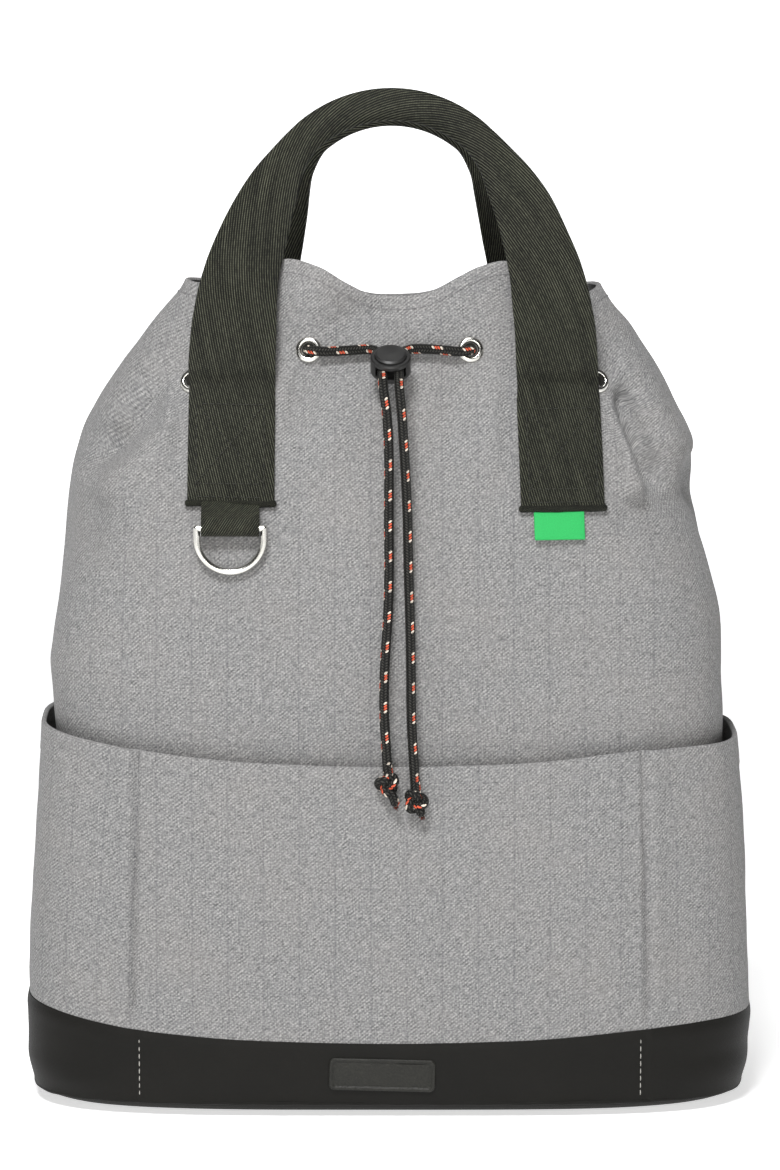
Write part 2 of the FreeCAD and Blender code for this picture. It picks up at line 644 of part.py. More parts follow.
rb, rs = get("ring_bend"), get("ring_side")
low_arc = primitive("Part::Torus", "ring_arc", Radius1="Dimensions.ring_bend", Radius2="Dimensions.ring_wire")
low_arc.Angle3 = 180.0
low_arc.Placement = FreeCAD.Placement(V(ring_x, ring_y, bar_z - rs), FreeCAD.Rotation(V(1, 0, 0), -90))
bar = primitive("Part::Cylinder", "ring_bar", Radius="Dimensions.ring_wire", Height="2 * Dimensions.ring_bend")
bar.Placement = FreeCAD.Placement(V(ring_x - rb, ring_y, bar_z), FreeCAD.Rotation(V(0, 1, 0), 90))
pieces = [low_arc, bar]
for s in (-1, 1):
    side_rod = primitive("Part::Cylinder", "ring_rod_%s" % ("l" if s < 0 else "r"), Radius="Dimensions.ring_wire", Height="Dimensions.ring_side")
    side_rod.Placement = FreeCAD.Placement(V(ring_x + s * rb, ring_y, bar_z - rs), FreeCAD.Rotation())
    ball = primitive("Part::Sphere", "ring_corner_%s" % ("l" if s < 0 else "r"), Radius="Dimensions.ring_wire")
    ball.Placement = FreeCAD.Placement(V(ring_x + s * rb, ring_y, bar_z), FreeCAD.Rotation())
    pieces += [side_rod, ball]
doc.recompute()
ring = doc.addObject("Part::MultiFuse", "d_ring")
ring.Label = "d_ring"
ring.Shapes = pieces
doc.recompute()
add(ring)

# ---------------------------------------------------------------- eyelets and their washers
blank = new_body("eyelet_blank")
sk = sketch_in(blank, "eyelet_section", "XZ_Plane")
outline(sk, [("eye_hole", "0-2.4"), ("eye_neck", "0-2.4"), ("eye_neck", "0.25"), ("eye_out", "0.25"), ("eye_out", "0.25+eye_flange/2"), ("eye_out-0.5", "0.25+eye_flange"), ("eye_hole+0.4", "0.25+eye_flange"), ("eye_hole", "0.25+eye_flange/2")], "ey")
rev = blank.newObject("PartDesign::Revolution", "eyelet_turned")
rev.Profile = sk
rev.ReferenceAxis = (sk, ["V_Axis"])
rev.Angle = 360
doc.recompute()
washer = new_body("washer_blank")
sk = sketch_in(washer, "washer_section", "XZ_Plane")
outline(sk, [("eye_neck+0.03", "0-2.9"), ("eye_out", "0-3.2"), ("eye_out", "0-3.7"), ("eye_neck+0.03", "0-3.7")], "wa")
rev = washer.newObject("PartDesign::Revolution", "washer_turned")
rev.Profile = sk
rev.ReferenceAxis = (sk, ["V_Axis"])
rev.Angle = 360
doc.recompute()


def spread(body):
    out = []
    for x, z, side in EYELETS:
        p, n = eye_frame(x, z, side)
        s = body.Shape.copy()
        s.Placement = FreeCAD.Placement(p, FreeCAD.Rotation(V(0, 0, 1), n))
        out.append(s)
    return out


eyes = [s.copy() for s in spread(blank)]
wash = [s.copy() for s in spread(washer)]
add(feature("eyelets", Part.makeCompound([s.Solids[0] for s in eyes])))
add(feature("eyelet_washers", Part.makeCompound([s.Solids[0] for s in wash])))


# ---------------------------------------------------------------- cords
def cord_tube(name, points, radius, report=True):
    """Straight runs joined by tangent arcs; each arc is as large as its two runs allow."""
    pts = [V(*p) for p in points]
    edges = []
    radii = []
    last = pts[0]
    for i in range(1, len(pts) - 1):
        a, b = pts[i] - pts[i - 1], pts[i + 1] - pts[i]
        la, lb = a.Length, b.Length
        turn = a.getAngle(b)
        cutback = 0.45 * min(la, lb)
        r = cutback / math.tan(turn / 2.0)
        radii.append(round(r, 1))
        a.normalize()
        b.normalize()
        p0, p1 = pts[i] - a * cutback, pts[i] + b * cutback
        inward = b - a
        inward.normalize()
        centre = pts[i] + inward * math.hypot(r, cutback)
        mid = centre - inward * r
        edges.append(Part.LineSegment(last, p0).toShape())
        edges.append(Part.Arc(p0, mid, p1).toShape())
        last = p1
    edges.append(Part.LineSegment(last, pts[-1]).toShape())
    wire = Part.Wire(edges)
    first = pts[1] - pts[0]
    disc = Part.Wire([Part.makeCircle(radius, pts[0], first)])
    tube = wire.makePipeShell([disc], True, True)
    length = wire.Length
    want = math.pi * radius * radius * length
    if report:
        print(name, "length %.1f" % length, "volume ratio %.4f" % (tube.Volume / want), "radii", radii)
    return tube, length


r_cord = get("cord_thick") / 2.0
LEFT_TAIL = [
    (-37.9, -51.0, 353.5), (-34.2, -53.4, 353.0), (-27.6, -54.2, 352.9), (-17.6, -54.4, 353.6), (-7.4, -54.2, 354.2),
    (-3.7, -59.4, 351.1), (-3.4, -73.0, 342.5), (-3.0, -79.4, 336.6), (-1.3, -81.4, 326.0), (-0.3, -81.4, 306.0),
    (-0.6, -81.6, 280.0), (-0.3, -82.2, 255.0), (-0.9, -82.6, 232.0), (-2.4, -83.6, 213.0), (-2.9, -85.6, 190.0),
    (-1.7, -88.4, 173.0), (-1.1, -89.4, 162.4),
]
RIGHT_TAIL = [
    (37.5, -51.0, 353.5), (33.8, -53.4, 352.6), (27.2, -54.2, 353.3), (17.8, -54.4, 354.2), (8.0, -54.2, 354.2),
    (4.3, -59.4, 351.1), (4.0, -73.0, 342.5), (4.3, -79.4, 336.6), (5.4, -81.4, 326.0), (6.8, -81.2, 304.0),
    (8.0, -81.6, 279.0), (8.4, -82.2, 255.0), (9.2, -82.6, 231.0), (9.6, -84.0, 207.0), (9.7, -86.0, 185.0),
    (10.8, -88.6, 168.0), (11.6, -89.4, 154.6),
]
tube, left_length = cord_tube("drawcord_tail_left", LEFT_TAIL, r_cord)
add(feature("drawcord_tail_left", tube))
tube, right_length = cord_tube("drawcord_tail_right", RIGHT_TAIL, r_cord)
add(feature("drawcord_tail_right", tube))


def held_route():
    """The held stretch: in and out through the eyelets and round the inside of the two ears."""

    def at(x, z, side, off):
        p, n = V(x, surface_y(x, z, side), z), normal_at(x, z, side)
        return p + n * off

    inside, outside = -6.4, 3.1
    route = []
    # from the front left inner eyelet, inwards
    e = [(-37.6, 353.5), (-66.0, 347.0), (-91.5, 338.6)]
    f = [(37.2, 353.5), (68.0, 347.0), (96.0, 338.6)]

    def lay(points, side, sequence):
        for (x, z, off) in sequence:
            p = at(x, z, side, off)
            points.append((p.x, p.y, p.z))

    front_left = [(-37.9, 353.5, -0.6), (-42.0, 352.6, -5.6), (-52.0, 350.2, inside), (-61.0, 348.2, -5.0), (-70.5, 345.6, outside - 0.4), (-78.5, 343.0, outside), (-87.0, 340.2, outside - 0.4), (-95.0, 337.6, -4.6)]
    lay(route, -1, front_left)
    # round the left ear inside
    for x, y, z in ((-105.0, -24.0, 337.0), (-113.5, -8.0, 336.6), (-113.5, 8.0, 336.6), (-105.0, 24.0, 337.0)):
        route.append((x, y, z))
    lay(route, 1, [(-95.0, 337.6, -4.6), (-87.0, 340.2, outside - 0.4), (-78.5, 343.0, outside), (-70.5, 345.6, outside - 0.4), (-61.0, 348.2, -5.0), (-52.0, 350.2, inside), (-42.0, 352.6, -4.6), (-33.5, 353.8, outside - 0.4), (-18.0, 353.2, outside), (0.0, 352.6, outside), (18.0, 353.2, outside), (33.2, 353.8, outside - 0.4), (41.6, 352.6, -4.6), (52.5, 350.2, inside), (63.0, 348.2, -5.0), (72.5, 345.6, outside - 0.4), (82.0, 343.0, outside), (91.5, 340.2, outside - 0.4), (99.5, 337.6, -4.6)])
    for x, y, z in ((106.5, 23.0, 337.0), (113.0, 8.0, 336.6), (113.0, -8.0, 336.6), (106.5, -23.0, 337.0)):
        route.append((x, y, z))
    lay(route, -1, [(99.5, 337.6, -4.6), (91.5, 340.2, outside - 0.4), (82.0, 343.0, outside), (72.5, 345.6, outside - 0.4), (63.0, 348.2, -5.0), (52.5, 350.2, inside), (41.6, 352.6, -5.6), (37.5, 353.5, -0.6)])
    return route


route = held_route()
tube, held_length = cord_tube("drawcord_held", route, r_cord)
add(feature("drawcord_held", tube))


def knot(name, x, y, z):
    body = new_body(name)
    sk = sketch_in(body, name + "_section", "XZ_Plane")
    outline(
        sk,
        [("0", "0-knot_up"), ("0.42*knot_round", "0-knot_up"), ("0.82*knot_round", "0-0.62*knot_up"), ("knot_round", "0-0.1*knot_up"), ("0.9*knot_round", "0.5*knot_up"), ("0.42*knot_round", "knot_up"), ("0", "knot_up")],
        "kn",
    )
    rev = body.newObject("PartDesign::Revolution", name + "_turned")
    rev.Profile = sk
    rev.ReferenceAxis = (sk, ["V_Axis"])
    rev.Angle = 360
    doc.recompute()
    body.Placement = FreeCAD.Placement(V(x, y, z), FreeCAD.Rotation())
    return add(body)


knot("knot_left", LEFT_TAIL[-1][0], LEFT_TAIL[-1][1] - 0.6, LEFT_TAIL[-1][2] - get("knot_up") - 0.02)
knot("knot_right", RIGHT_TAIL[-1][0], RIGHT_TAIL[-1][1] - 0.6, RIGHT_TAIL[-1][2] - get("knot_up") - 0.02)

# ---------------------------------------------------------------- cord lock
LEAN = 33.0
lock_axis = V(0, -math.sin(math.radians(LEAN)), math.cos(math.radians(LEAN)))
lock_foot = V(0.3, -61.6, 342.95)
lock_place = FreeCAD.Placement(lock_foot, FreeCAD.Rotation(V(1, 0, 0), LEAN))

barrel = new_body("cord_lock_barrel")
sk = sketch_in(barrel, "barrel_section", "XZ_Plane")
outline(
    sk,
    [("0", "0"), ("barrel_foot", "0"), ("barrel_round", "barrel_bevel"), ("barrel_round", "barrel_tall-0.6"), ("barrel_lip", "barrel_tall"), ("barrel_bore", "barrel_tall"), ("barrel_bore", "barrel_floor"), ("0", "barrel_floor")],
    "ba",
)
rev = barrel.newObject("PartDesign::Revolution", "barrel_turned")
rev.Profile = sk
rev.ReferenceAxis = (sk, ["V_Axis"])
rev.Angle = 360
doc.recompute()
sk = sketch_in(barrel, "barrel_slot", "XZ_Plane")
outline(sk, [("0-slot_wide/2", "slot_mid-slot_tall/2"), ("slot_wide/2", "slot_mid-slot_tall/2"), ("slot_wide/2", "slot_mid+slot_tall/2"), ("0-slot_wide/2", "slot_mid+slot_tall/2")], "bs")
before = rev.Shape.Volume
slot = barrel.newObject("PartDesign::Pocket", "barrel_slot_cut")
slot.Profile = sk
slot.Type = 1
slot.Midplane = True
doc.recompute()
if slot.Shape.Volume > before - 20.0:
    raise RuntimeError("the barrel's slot was not cut")
barrel.Placement = lock_place
add(barrel)

plunger = new_body("cord_lock_plunger")
sk = sketch_in(plunger, "plunger_section", "XZ_Plane")
outline(
    sk,
    [("0", "plunger_low"), ("plunger_round", "plunger_low"), ("plunger_round", "plunger_shoulder"), ("plunger_top", "plunger_high-0.15"), ("0", "plunger_high")],
    "pl",
)
rev = plunger.newObject("PartDesign::Revolution", "plunger_turned")
rev.Profile = sk
rev.ReferenceAxis = (sk, ["V_Axis"])
rev.Angle = 360
doc.recompute()
sk = sketch_in(plunger, "plunger_slot", "XZ_Plane")
outline(sk, [("0-slot_wide/2+0.6", "plunger_slot_low"), ("slot_wide/2-0.6", "plunger_slot_low"), ("slot_wide/2-0.6", "plunger_slot_high"), ("0-slot_wide/2+0.6", "plunger_slot_high")], "ps")
before = rev.Shape.Volume
slot = plunger.newObject("PartDesign::Pocket", "plunger_slot_cut")
slot.Profile = sk
slot.Type = 1
slot.Midplane = True
doc.recompute()
if slot.Shape.Volume > before - 20.0:
    raise RuntimeError("the plunger's slot was not cut")
plunger.Placement = lock_place
add(plunger)

helix = Part.makeHelix(0.75, 1.2, get("spring_turn"))
wire_section = Part.Wire([Part.makeCircle(get("spring_wire"), V(get("spring_turn"), 0, 0), V(0, 1, 0))])
coil = Part.Wire(helix).makePipeShell([wire_section], True, True)
spring = feature("cord_lock_spring", coil)
spring.Placement = lock_place.multiply(FreeCAD.Placement(V(0, 0, get("barrel_floor") + get("spring_wire") + 0.05), FreeCAD.Rotation()))
add(spring)

# ---------------------------------------------------------------- check and write
doc.recompute()
bad = []
for ob in doc.Objects:
    state = list(getattr(ob, "State", []))
    if "Invalid" in state or "Error" in state:
        bad.append("%s: %s" % (ob.Label, state))
for ob in OUTPUT:
    if ob.Shape.isNull():
        bad.append(ob.Label + ": no shape")
    elif not ob.Shape.isValid():
        bad.append(ob.Label + ": not valid")
    elif not ob.Shape.Solids:
        bad.append(ob.Label + ": no solid")
if bad:
    raise SystemExit("failed: " + "; ".join(bad))

os.makedirs("parts", exist_ok=True)
for ob in OUTPUT:
    b = ob.Shape.BoundBox
    print("%-26s solids %2d  volume %9.0f  x %7.1f %7.1f  y %7.1f %7.1f  z %6.1f %6.1f" % (ob.Label, len(ob.Shape.Solids), ob.Shape.Volume, b.XMin, b.XMax, b.YMin, b.YMax, b.ZMin, b.ZMax))
    ob.Shape.exportStep(os.path.join("parts", ob.Label + ".step"))
print("handle axes", round(front_axis_y, 2), round(rear_axis_y, 2), round(axis_z, 2), "ring axis", round(ring_x, 2), round(ring_y, 2), bar_z, "held", round(held_length, 1))
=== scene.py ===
"""Diaper bag: cloth, webbing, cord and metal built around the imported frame."""

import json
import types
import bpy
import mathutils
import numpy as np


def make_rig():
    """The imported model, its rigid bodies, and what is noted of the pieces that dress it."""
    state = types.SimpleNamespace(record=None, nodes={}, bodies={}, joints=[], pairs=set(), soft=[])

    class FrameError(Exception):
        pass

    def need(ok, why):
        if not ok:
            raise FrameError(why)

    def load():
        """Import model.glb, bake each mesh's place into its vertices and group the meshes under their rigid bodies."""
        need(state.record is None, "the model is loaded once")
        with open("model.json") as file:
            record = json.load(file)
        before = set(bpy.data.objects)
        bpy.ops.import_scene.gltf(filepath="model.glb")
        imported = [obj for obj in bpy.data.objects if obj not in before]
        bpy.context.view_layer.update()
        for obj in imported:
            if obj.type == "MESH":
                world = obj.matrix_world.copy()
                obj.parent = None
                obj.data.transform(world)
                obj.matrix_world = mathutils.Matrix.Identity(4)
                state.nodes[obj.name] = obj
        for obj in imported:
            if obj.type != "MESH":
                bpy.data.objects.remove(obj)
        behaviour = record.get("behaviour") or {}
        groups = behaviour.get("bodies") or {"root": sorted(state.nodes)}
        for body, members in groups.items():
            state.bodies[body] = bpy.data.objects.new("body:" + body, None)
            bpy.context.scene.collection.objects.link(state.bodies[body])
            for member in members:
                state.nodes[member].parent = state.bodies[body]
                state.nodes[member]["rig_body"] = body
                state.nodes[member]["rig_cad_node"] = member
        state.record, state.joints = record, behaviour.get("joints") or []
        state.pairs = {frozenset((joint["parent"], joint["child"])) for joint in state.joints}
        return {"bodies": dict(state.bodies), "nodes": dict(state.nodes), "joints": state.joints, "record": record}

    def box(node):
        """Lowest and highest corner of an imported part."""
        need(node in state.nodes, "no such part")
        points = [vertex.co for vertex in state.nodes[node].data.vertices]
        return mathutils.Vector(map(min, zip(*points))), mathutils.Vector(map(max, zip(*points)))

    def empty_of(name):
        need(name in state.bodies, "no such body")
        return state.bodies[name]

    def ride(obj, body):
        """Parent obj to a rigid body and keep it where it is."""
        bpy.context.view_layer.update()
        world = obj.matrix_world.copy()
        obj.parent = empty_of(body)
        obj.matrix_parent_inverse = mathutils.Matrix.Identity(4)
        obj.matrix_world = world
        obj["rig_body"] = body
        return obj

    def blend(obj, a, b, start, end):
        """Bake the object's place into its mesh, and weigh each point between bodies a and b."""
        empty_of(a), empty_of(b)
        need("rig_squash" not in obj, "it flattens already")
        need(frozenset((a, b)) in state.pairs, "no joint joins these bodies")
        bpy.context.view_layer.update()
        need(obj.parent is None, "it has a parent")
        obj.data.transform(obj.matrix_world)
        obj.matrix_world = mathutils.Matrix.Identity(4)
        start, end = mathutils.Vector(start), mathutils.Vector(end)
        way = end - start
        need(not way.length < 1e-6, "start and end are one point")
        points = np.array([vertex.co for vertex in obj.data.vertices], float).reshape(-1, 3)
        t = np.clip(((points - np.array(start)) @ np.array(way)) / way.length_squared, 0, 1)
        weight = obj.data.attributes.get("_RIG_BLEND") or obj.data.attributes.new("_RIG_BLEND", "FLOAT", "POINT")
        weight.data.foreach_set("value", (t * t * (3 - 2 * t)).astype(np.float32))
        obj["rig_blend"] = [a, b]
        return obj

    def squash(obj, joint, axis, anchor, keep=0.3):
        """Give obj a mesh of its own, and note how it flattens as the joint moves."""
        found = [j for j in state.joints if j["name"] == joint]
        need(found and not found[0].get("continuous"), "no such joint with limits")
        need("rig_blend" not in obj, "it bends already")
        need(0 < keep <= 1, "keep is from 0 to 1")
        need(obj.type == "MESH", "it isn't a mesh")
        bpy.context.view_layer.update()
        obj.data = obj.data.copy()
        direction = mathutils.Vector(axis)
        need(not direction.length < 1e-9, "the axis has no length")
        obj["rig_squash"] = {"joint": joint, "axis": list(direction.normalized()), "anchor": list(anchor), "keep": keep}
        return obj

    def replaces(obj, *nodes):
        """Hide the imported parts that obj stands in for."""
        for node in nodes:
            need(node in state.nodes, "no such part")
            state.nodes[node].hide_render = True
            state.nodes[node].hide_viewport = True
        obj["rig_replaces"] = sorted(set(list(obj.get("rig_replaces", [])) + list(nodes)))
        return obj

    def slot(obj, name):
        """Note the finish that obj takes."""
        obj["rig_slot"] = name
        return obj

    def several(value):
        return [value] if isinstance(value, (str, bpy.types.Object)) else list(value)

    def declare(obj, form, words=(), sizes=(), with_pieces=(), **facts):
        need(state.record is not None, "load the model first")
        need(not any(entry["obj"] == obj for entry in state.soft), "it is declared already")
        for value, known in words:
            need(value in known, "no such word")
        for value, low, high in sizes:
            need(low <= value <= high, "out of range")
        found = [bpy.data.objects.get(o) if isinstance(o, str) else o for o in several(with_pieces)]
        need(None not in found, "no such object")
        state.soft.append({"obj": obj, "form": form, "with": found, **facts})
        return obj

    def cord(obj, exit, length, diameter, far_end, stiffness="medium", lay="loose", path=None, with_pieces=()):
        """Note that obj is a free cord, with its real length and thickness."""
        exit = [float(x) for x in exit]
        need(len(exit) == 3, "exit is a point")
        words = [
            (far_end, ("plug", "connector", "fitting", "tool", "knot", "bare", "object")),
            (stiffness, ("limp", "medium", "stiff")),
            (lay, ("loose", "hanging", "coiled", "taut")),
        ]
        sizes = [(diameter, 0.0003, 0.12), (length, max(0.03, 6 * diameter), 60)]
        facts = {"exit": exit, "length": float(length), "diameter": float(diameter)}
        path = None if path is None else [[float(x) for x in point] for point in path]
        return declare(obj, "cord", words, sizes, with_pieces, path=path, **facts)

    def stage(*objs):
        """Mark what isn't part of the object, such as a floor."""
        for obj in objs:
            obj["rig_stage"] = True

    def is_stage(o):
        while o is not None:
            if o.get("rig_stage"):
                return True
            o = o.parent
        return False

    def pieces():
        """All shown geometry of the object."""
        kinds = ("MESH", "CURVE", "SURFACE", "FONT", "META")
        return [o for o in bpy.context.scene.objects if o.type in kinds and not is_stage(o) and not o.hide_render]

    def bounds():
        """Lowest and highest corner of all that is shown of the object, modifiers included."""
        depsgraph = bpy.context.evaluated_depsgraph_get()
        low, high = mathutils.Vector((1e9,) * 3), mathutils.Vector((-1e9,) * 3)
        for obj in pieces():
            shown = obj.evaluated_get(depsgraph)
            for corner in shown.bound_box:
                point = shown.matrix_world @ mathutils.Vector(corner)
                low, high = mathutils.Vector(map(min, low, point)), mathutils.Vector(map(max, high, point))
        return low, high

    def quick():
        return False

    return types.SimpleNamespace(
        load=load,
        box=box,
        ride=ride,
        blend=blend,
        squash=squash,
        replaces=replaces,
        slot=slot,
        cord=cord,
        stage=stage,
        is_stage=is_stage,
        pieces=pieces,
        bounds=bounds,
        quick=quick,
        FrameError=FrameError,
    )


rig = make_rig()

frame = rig.load()
cad_lo, cad_hi = [list(v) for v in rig.bounds()]

import json
import math

import bpy
import numpy as np
from mathutils import Matrix, Vector

SCENE = bpy.context.scene
pi = math.pi

# ------------------------------------------------------------------ camera
cam_data = bpy.data.cameras.new("camera")
cam = bpy.data.objects.new("camera", cam_data)
SCENE.collection.objects.link(cam)
cam_data.lens = 135.38
cam_data.sensor_width = 36.0
cam_data.clip_start, cam_data.clip_end = 0.05, 50.0
cam.location = (0.0, -2.082, 0.460)
cam.rotation_euler = (math.radians(90.0 - 6.06), 0.0, 0.0)
SCENE.camera = cam


# ------------------------------------------------------------------ mesh helpers
def link(ob):
    SCENE.collection.objects.link(ob)
    return ob


def mesh_object(name, verts, faces, uvs=None, mat=None, mats=None, mat_index=None, smooth=True):
    me = bpy.data.meshes.new(name)
    me.from_pydata([tuple(v) for v in verts], [], faces)
    if uvs is not None:
        layer = me.uv_layers.new(name="UVMap")
        flat = np.asarray(uvs, np.float32).ravel()
        layer.data.foreach_set("uv", flat)
    for m in (mats or ([mat] if mat else [])):
        me.materials.append(m)
    if mat_index is not None:
        me.polygons.foreach_set("material_index", np.asarray(mat_index, np.int32))
    if smooth:
        me.polygons.foreach_set("use_smooth", [True] * len(me.polygons))
    me.update()
    me.validate()
    ob = bpy.data.objects.new(name, me)
    return link(ob)


def grid(P, UV=None, wrap=False, flip=False, base=0):
    """Faces and per-loop UVs of a grid of points P[rows][cols]. wrap joins the last column to the first."""
    P = np.asarray(P, float)
    nv, nu = P.shape[:2]
    faces, uvs = [], []
    last = nu if wrap else nu - 1
    for j in range(nv - 1):
        for i in range(last):
            k = (i + 1) % nu
            a, b, c, d = j * nu + i, j * nu + k, (j + 1) * nu + k, (j + 1) * nu + i
            q = (a, b, c, d) if not flip else (d, c, b, a)
            faces.append(tuple(base + x for x in q))
            if UV is not None:
                i1 = i + 1
                u = [UV[j][i], UV[j][i1 if i1 < len(UV[j]) else i], UV[j + 1][i1 if i1 < len(UV[j + 1]) else i], UV[j + 1][i]]
                if flip:
                    u = u[::-1]
                uvs.extend(u)
    return P.reshape(-1, 3), faces, uvs


class Build:
    """Collects several grids into one mesh."""

    def __init__(self):
        self.v, self.f, self.uv, self.m = [], [], [], []

    def add(self, P, UV=None, wrap=False, flip=False, mat=0):
        v, f, uv = grid(P, UV, wrap, flip, base=len(self.v))
        self.v.extend(v.tolist())
        self.f.extend(f)
        self.uv.extend(uv if uv else [(0.0, 0.0)] * (4 * len(f)))
        self.m.extend([mat] * len(f))
        return self

    def raw(self, verts, faces, uvs=None, mat=0):
        b = len(self.v)
        self.v.extend([tuple(x) for x in verts])
        for f in faces:
            self.f.append(tuple(b + x for x in f))
            self.m.append(mat)
        n = sum(len(f) for f in faces)
        self.uv.extend(uvs if uvs else [(0.0, 0.0)] * n)
        return self

    def make(self, name, mats, smooth=True):
        return mesh_object(name, self.v, self.f, self.uv, mats=mats, mat_index=self.m, smooth=smooth)


def pchip(xs, ys, q):
    """Monotone cubic through a table."""
    xs, ys, q = np.asarray(xs, float), np.asarray(ys, float), np.asarray(q, float)
    h = np.diff(xs)
    d = np.diff(ys) / h
    m = np.zeros(len(xs))
    for i in range(1, len(xs) - 1):
        if d[i - 1] * d[i] > 0:
            w1, w2 = 2 * h[i] + h[i - 1], h[i] + 2 * h[i - 1]
            m[i] = (w1 + w2) / (w1 / d[i - 1] + w2 / d[i])
    m[0], m[-1] = d[0], d[-1]
    k = np.clip(np.searchsorted(xs, q) - 1, 0, len(xs) - 2)
    t = (np.clip(q, xs[0], xs[-1]) - xs[k]) / h[k]
    return (
        (2 * t**3 - 3 * t**2 + 1) * ys[k]
        + (t**3 - 2 * t**2 + t) * h[k] * m[k]
        + (-2 * t**3 + 3 * t**2) * ys[k + 1]
        + (t**3 - t**2) * h[k] * m[k + 1]
    )


def table(rows, q):
    rows = np.asarray(rows, float)
    return [pchip(rows[:, 0], rows[:, i], q) for i in range(1, rows.shape[1])]


def curve_points(points, resolution=14):
    """The line of a NURBS spline of order 3 through space, its control points in metres."""
    cu = bpy.data.curves.new("route", "CURVE")
    cu.dimensions = "3D"
    cu.resolution_u = resolution
    sp = cu.splines.new("NURBS")
    sp.points.add(len(points) - 1)
    for p, q in zip(sp.points, points):
        p.co = (q[0], q[1], q[2], 1.0)
    sp.order_u = 3
    sp.use_endpoint_u = True
    ob = link(bpy.data.objects.new("route", cu))
    bpy.context.view_layer.update()
    me = bpy.data.meshes.new_from_object(ob)
    pts = [tuple(v.co) for v in me.vertices]
    bpy.data.objects.remove(ob)
    bpy.data.curves.remove(cu)
    bpy.data.meshes.remove(me)
    return pts


def frames_along(pts, first=None):
    P = np.asarray(pts, float)
    T = np.gradient(P, axis=0)
    T /= np.linalg.norm(T, axis=1)[:, None]
    n = np.array(first if first is not None else (0.0, -1.0, 0.0), float)
    N = []
    for t in T:
        n = n - t * (n @ t)
        if np.linalg.norm(n) < 1e-6:
            n = np.array((1.0, 0.0, 0.0)) - t * t[0]
        n = n / np.linalg.norm(n)
        N.append(n.copy())
    N = np.array(N)
    B = np.cross(T, N)
    S = np.concatenate([[0.0], np.cumsum(np.linalg.norm(np.diff(P, axis=0), axis=1))])
    return P, T, N, B, S


def tube_build(b, pts, radius, sides=20, mat=0, caps=True, first=None, v0=0.0):
    """A round tube along pts; U goes once round, V is the length in metres. radius may be a number or one for each point."""
    P, T, N, B, S = frames_along(pts, first)
    r = np.full(len(P), radius) if np.isscalar(radius) else np.asarray(radius, float)
    a = np.linspace(0, 2 * pi, sides, endpoint=False)
    ring = P[:, None, :] + r[:, None, None] * (np.cos(a)[None, :, None] * N[:, None, :] + np.sin(a)[None, :, None] * B[:, None, :])
    UV = [[(i / sides, v0 + S[j]) for i in range(sides + 1)] for j in range(len(P))]
    if caps:
        k = 0.55
        s0 = P[0] - T[0] * r[0] * 0.45 + (ring[0] - P[0]) * k
        s1 = P[-1] + T[-1] * r[-1] * 0.45 + (ring[-1] - P[-1]) * k
        e0 = np.repeat((P[0] - T[0] * r[0] * 0.6)[None, :], sides, 0)
        e1 = np.repeat((P[-1] + T[-1] * r[-1] * 0.6)[None, :], sides, 0)
        ring = np.concatenate([e0[None], s0[None], ring, s1[None], e1[None]])
        UV = [UV[0], UV[0]] + UV + [UV[-1], UV[-1]]
    b.add(ring, UV, wrap=True, flip=True, mat=mat)
    return S[-1]


def smoothstep(e0, e1, x):
    t = np.clip((np.asarray(x, float) - e0) / (e1 - e0), 0, 1)
    return t * t * (3 - 2 * t)


def hash_noise(seed, n):
    return np.random.RandomState(seed).rand(n)


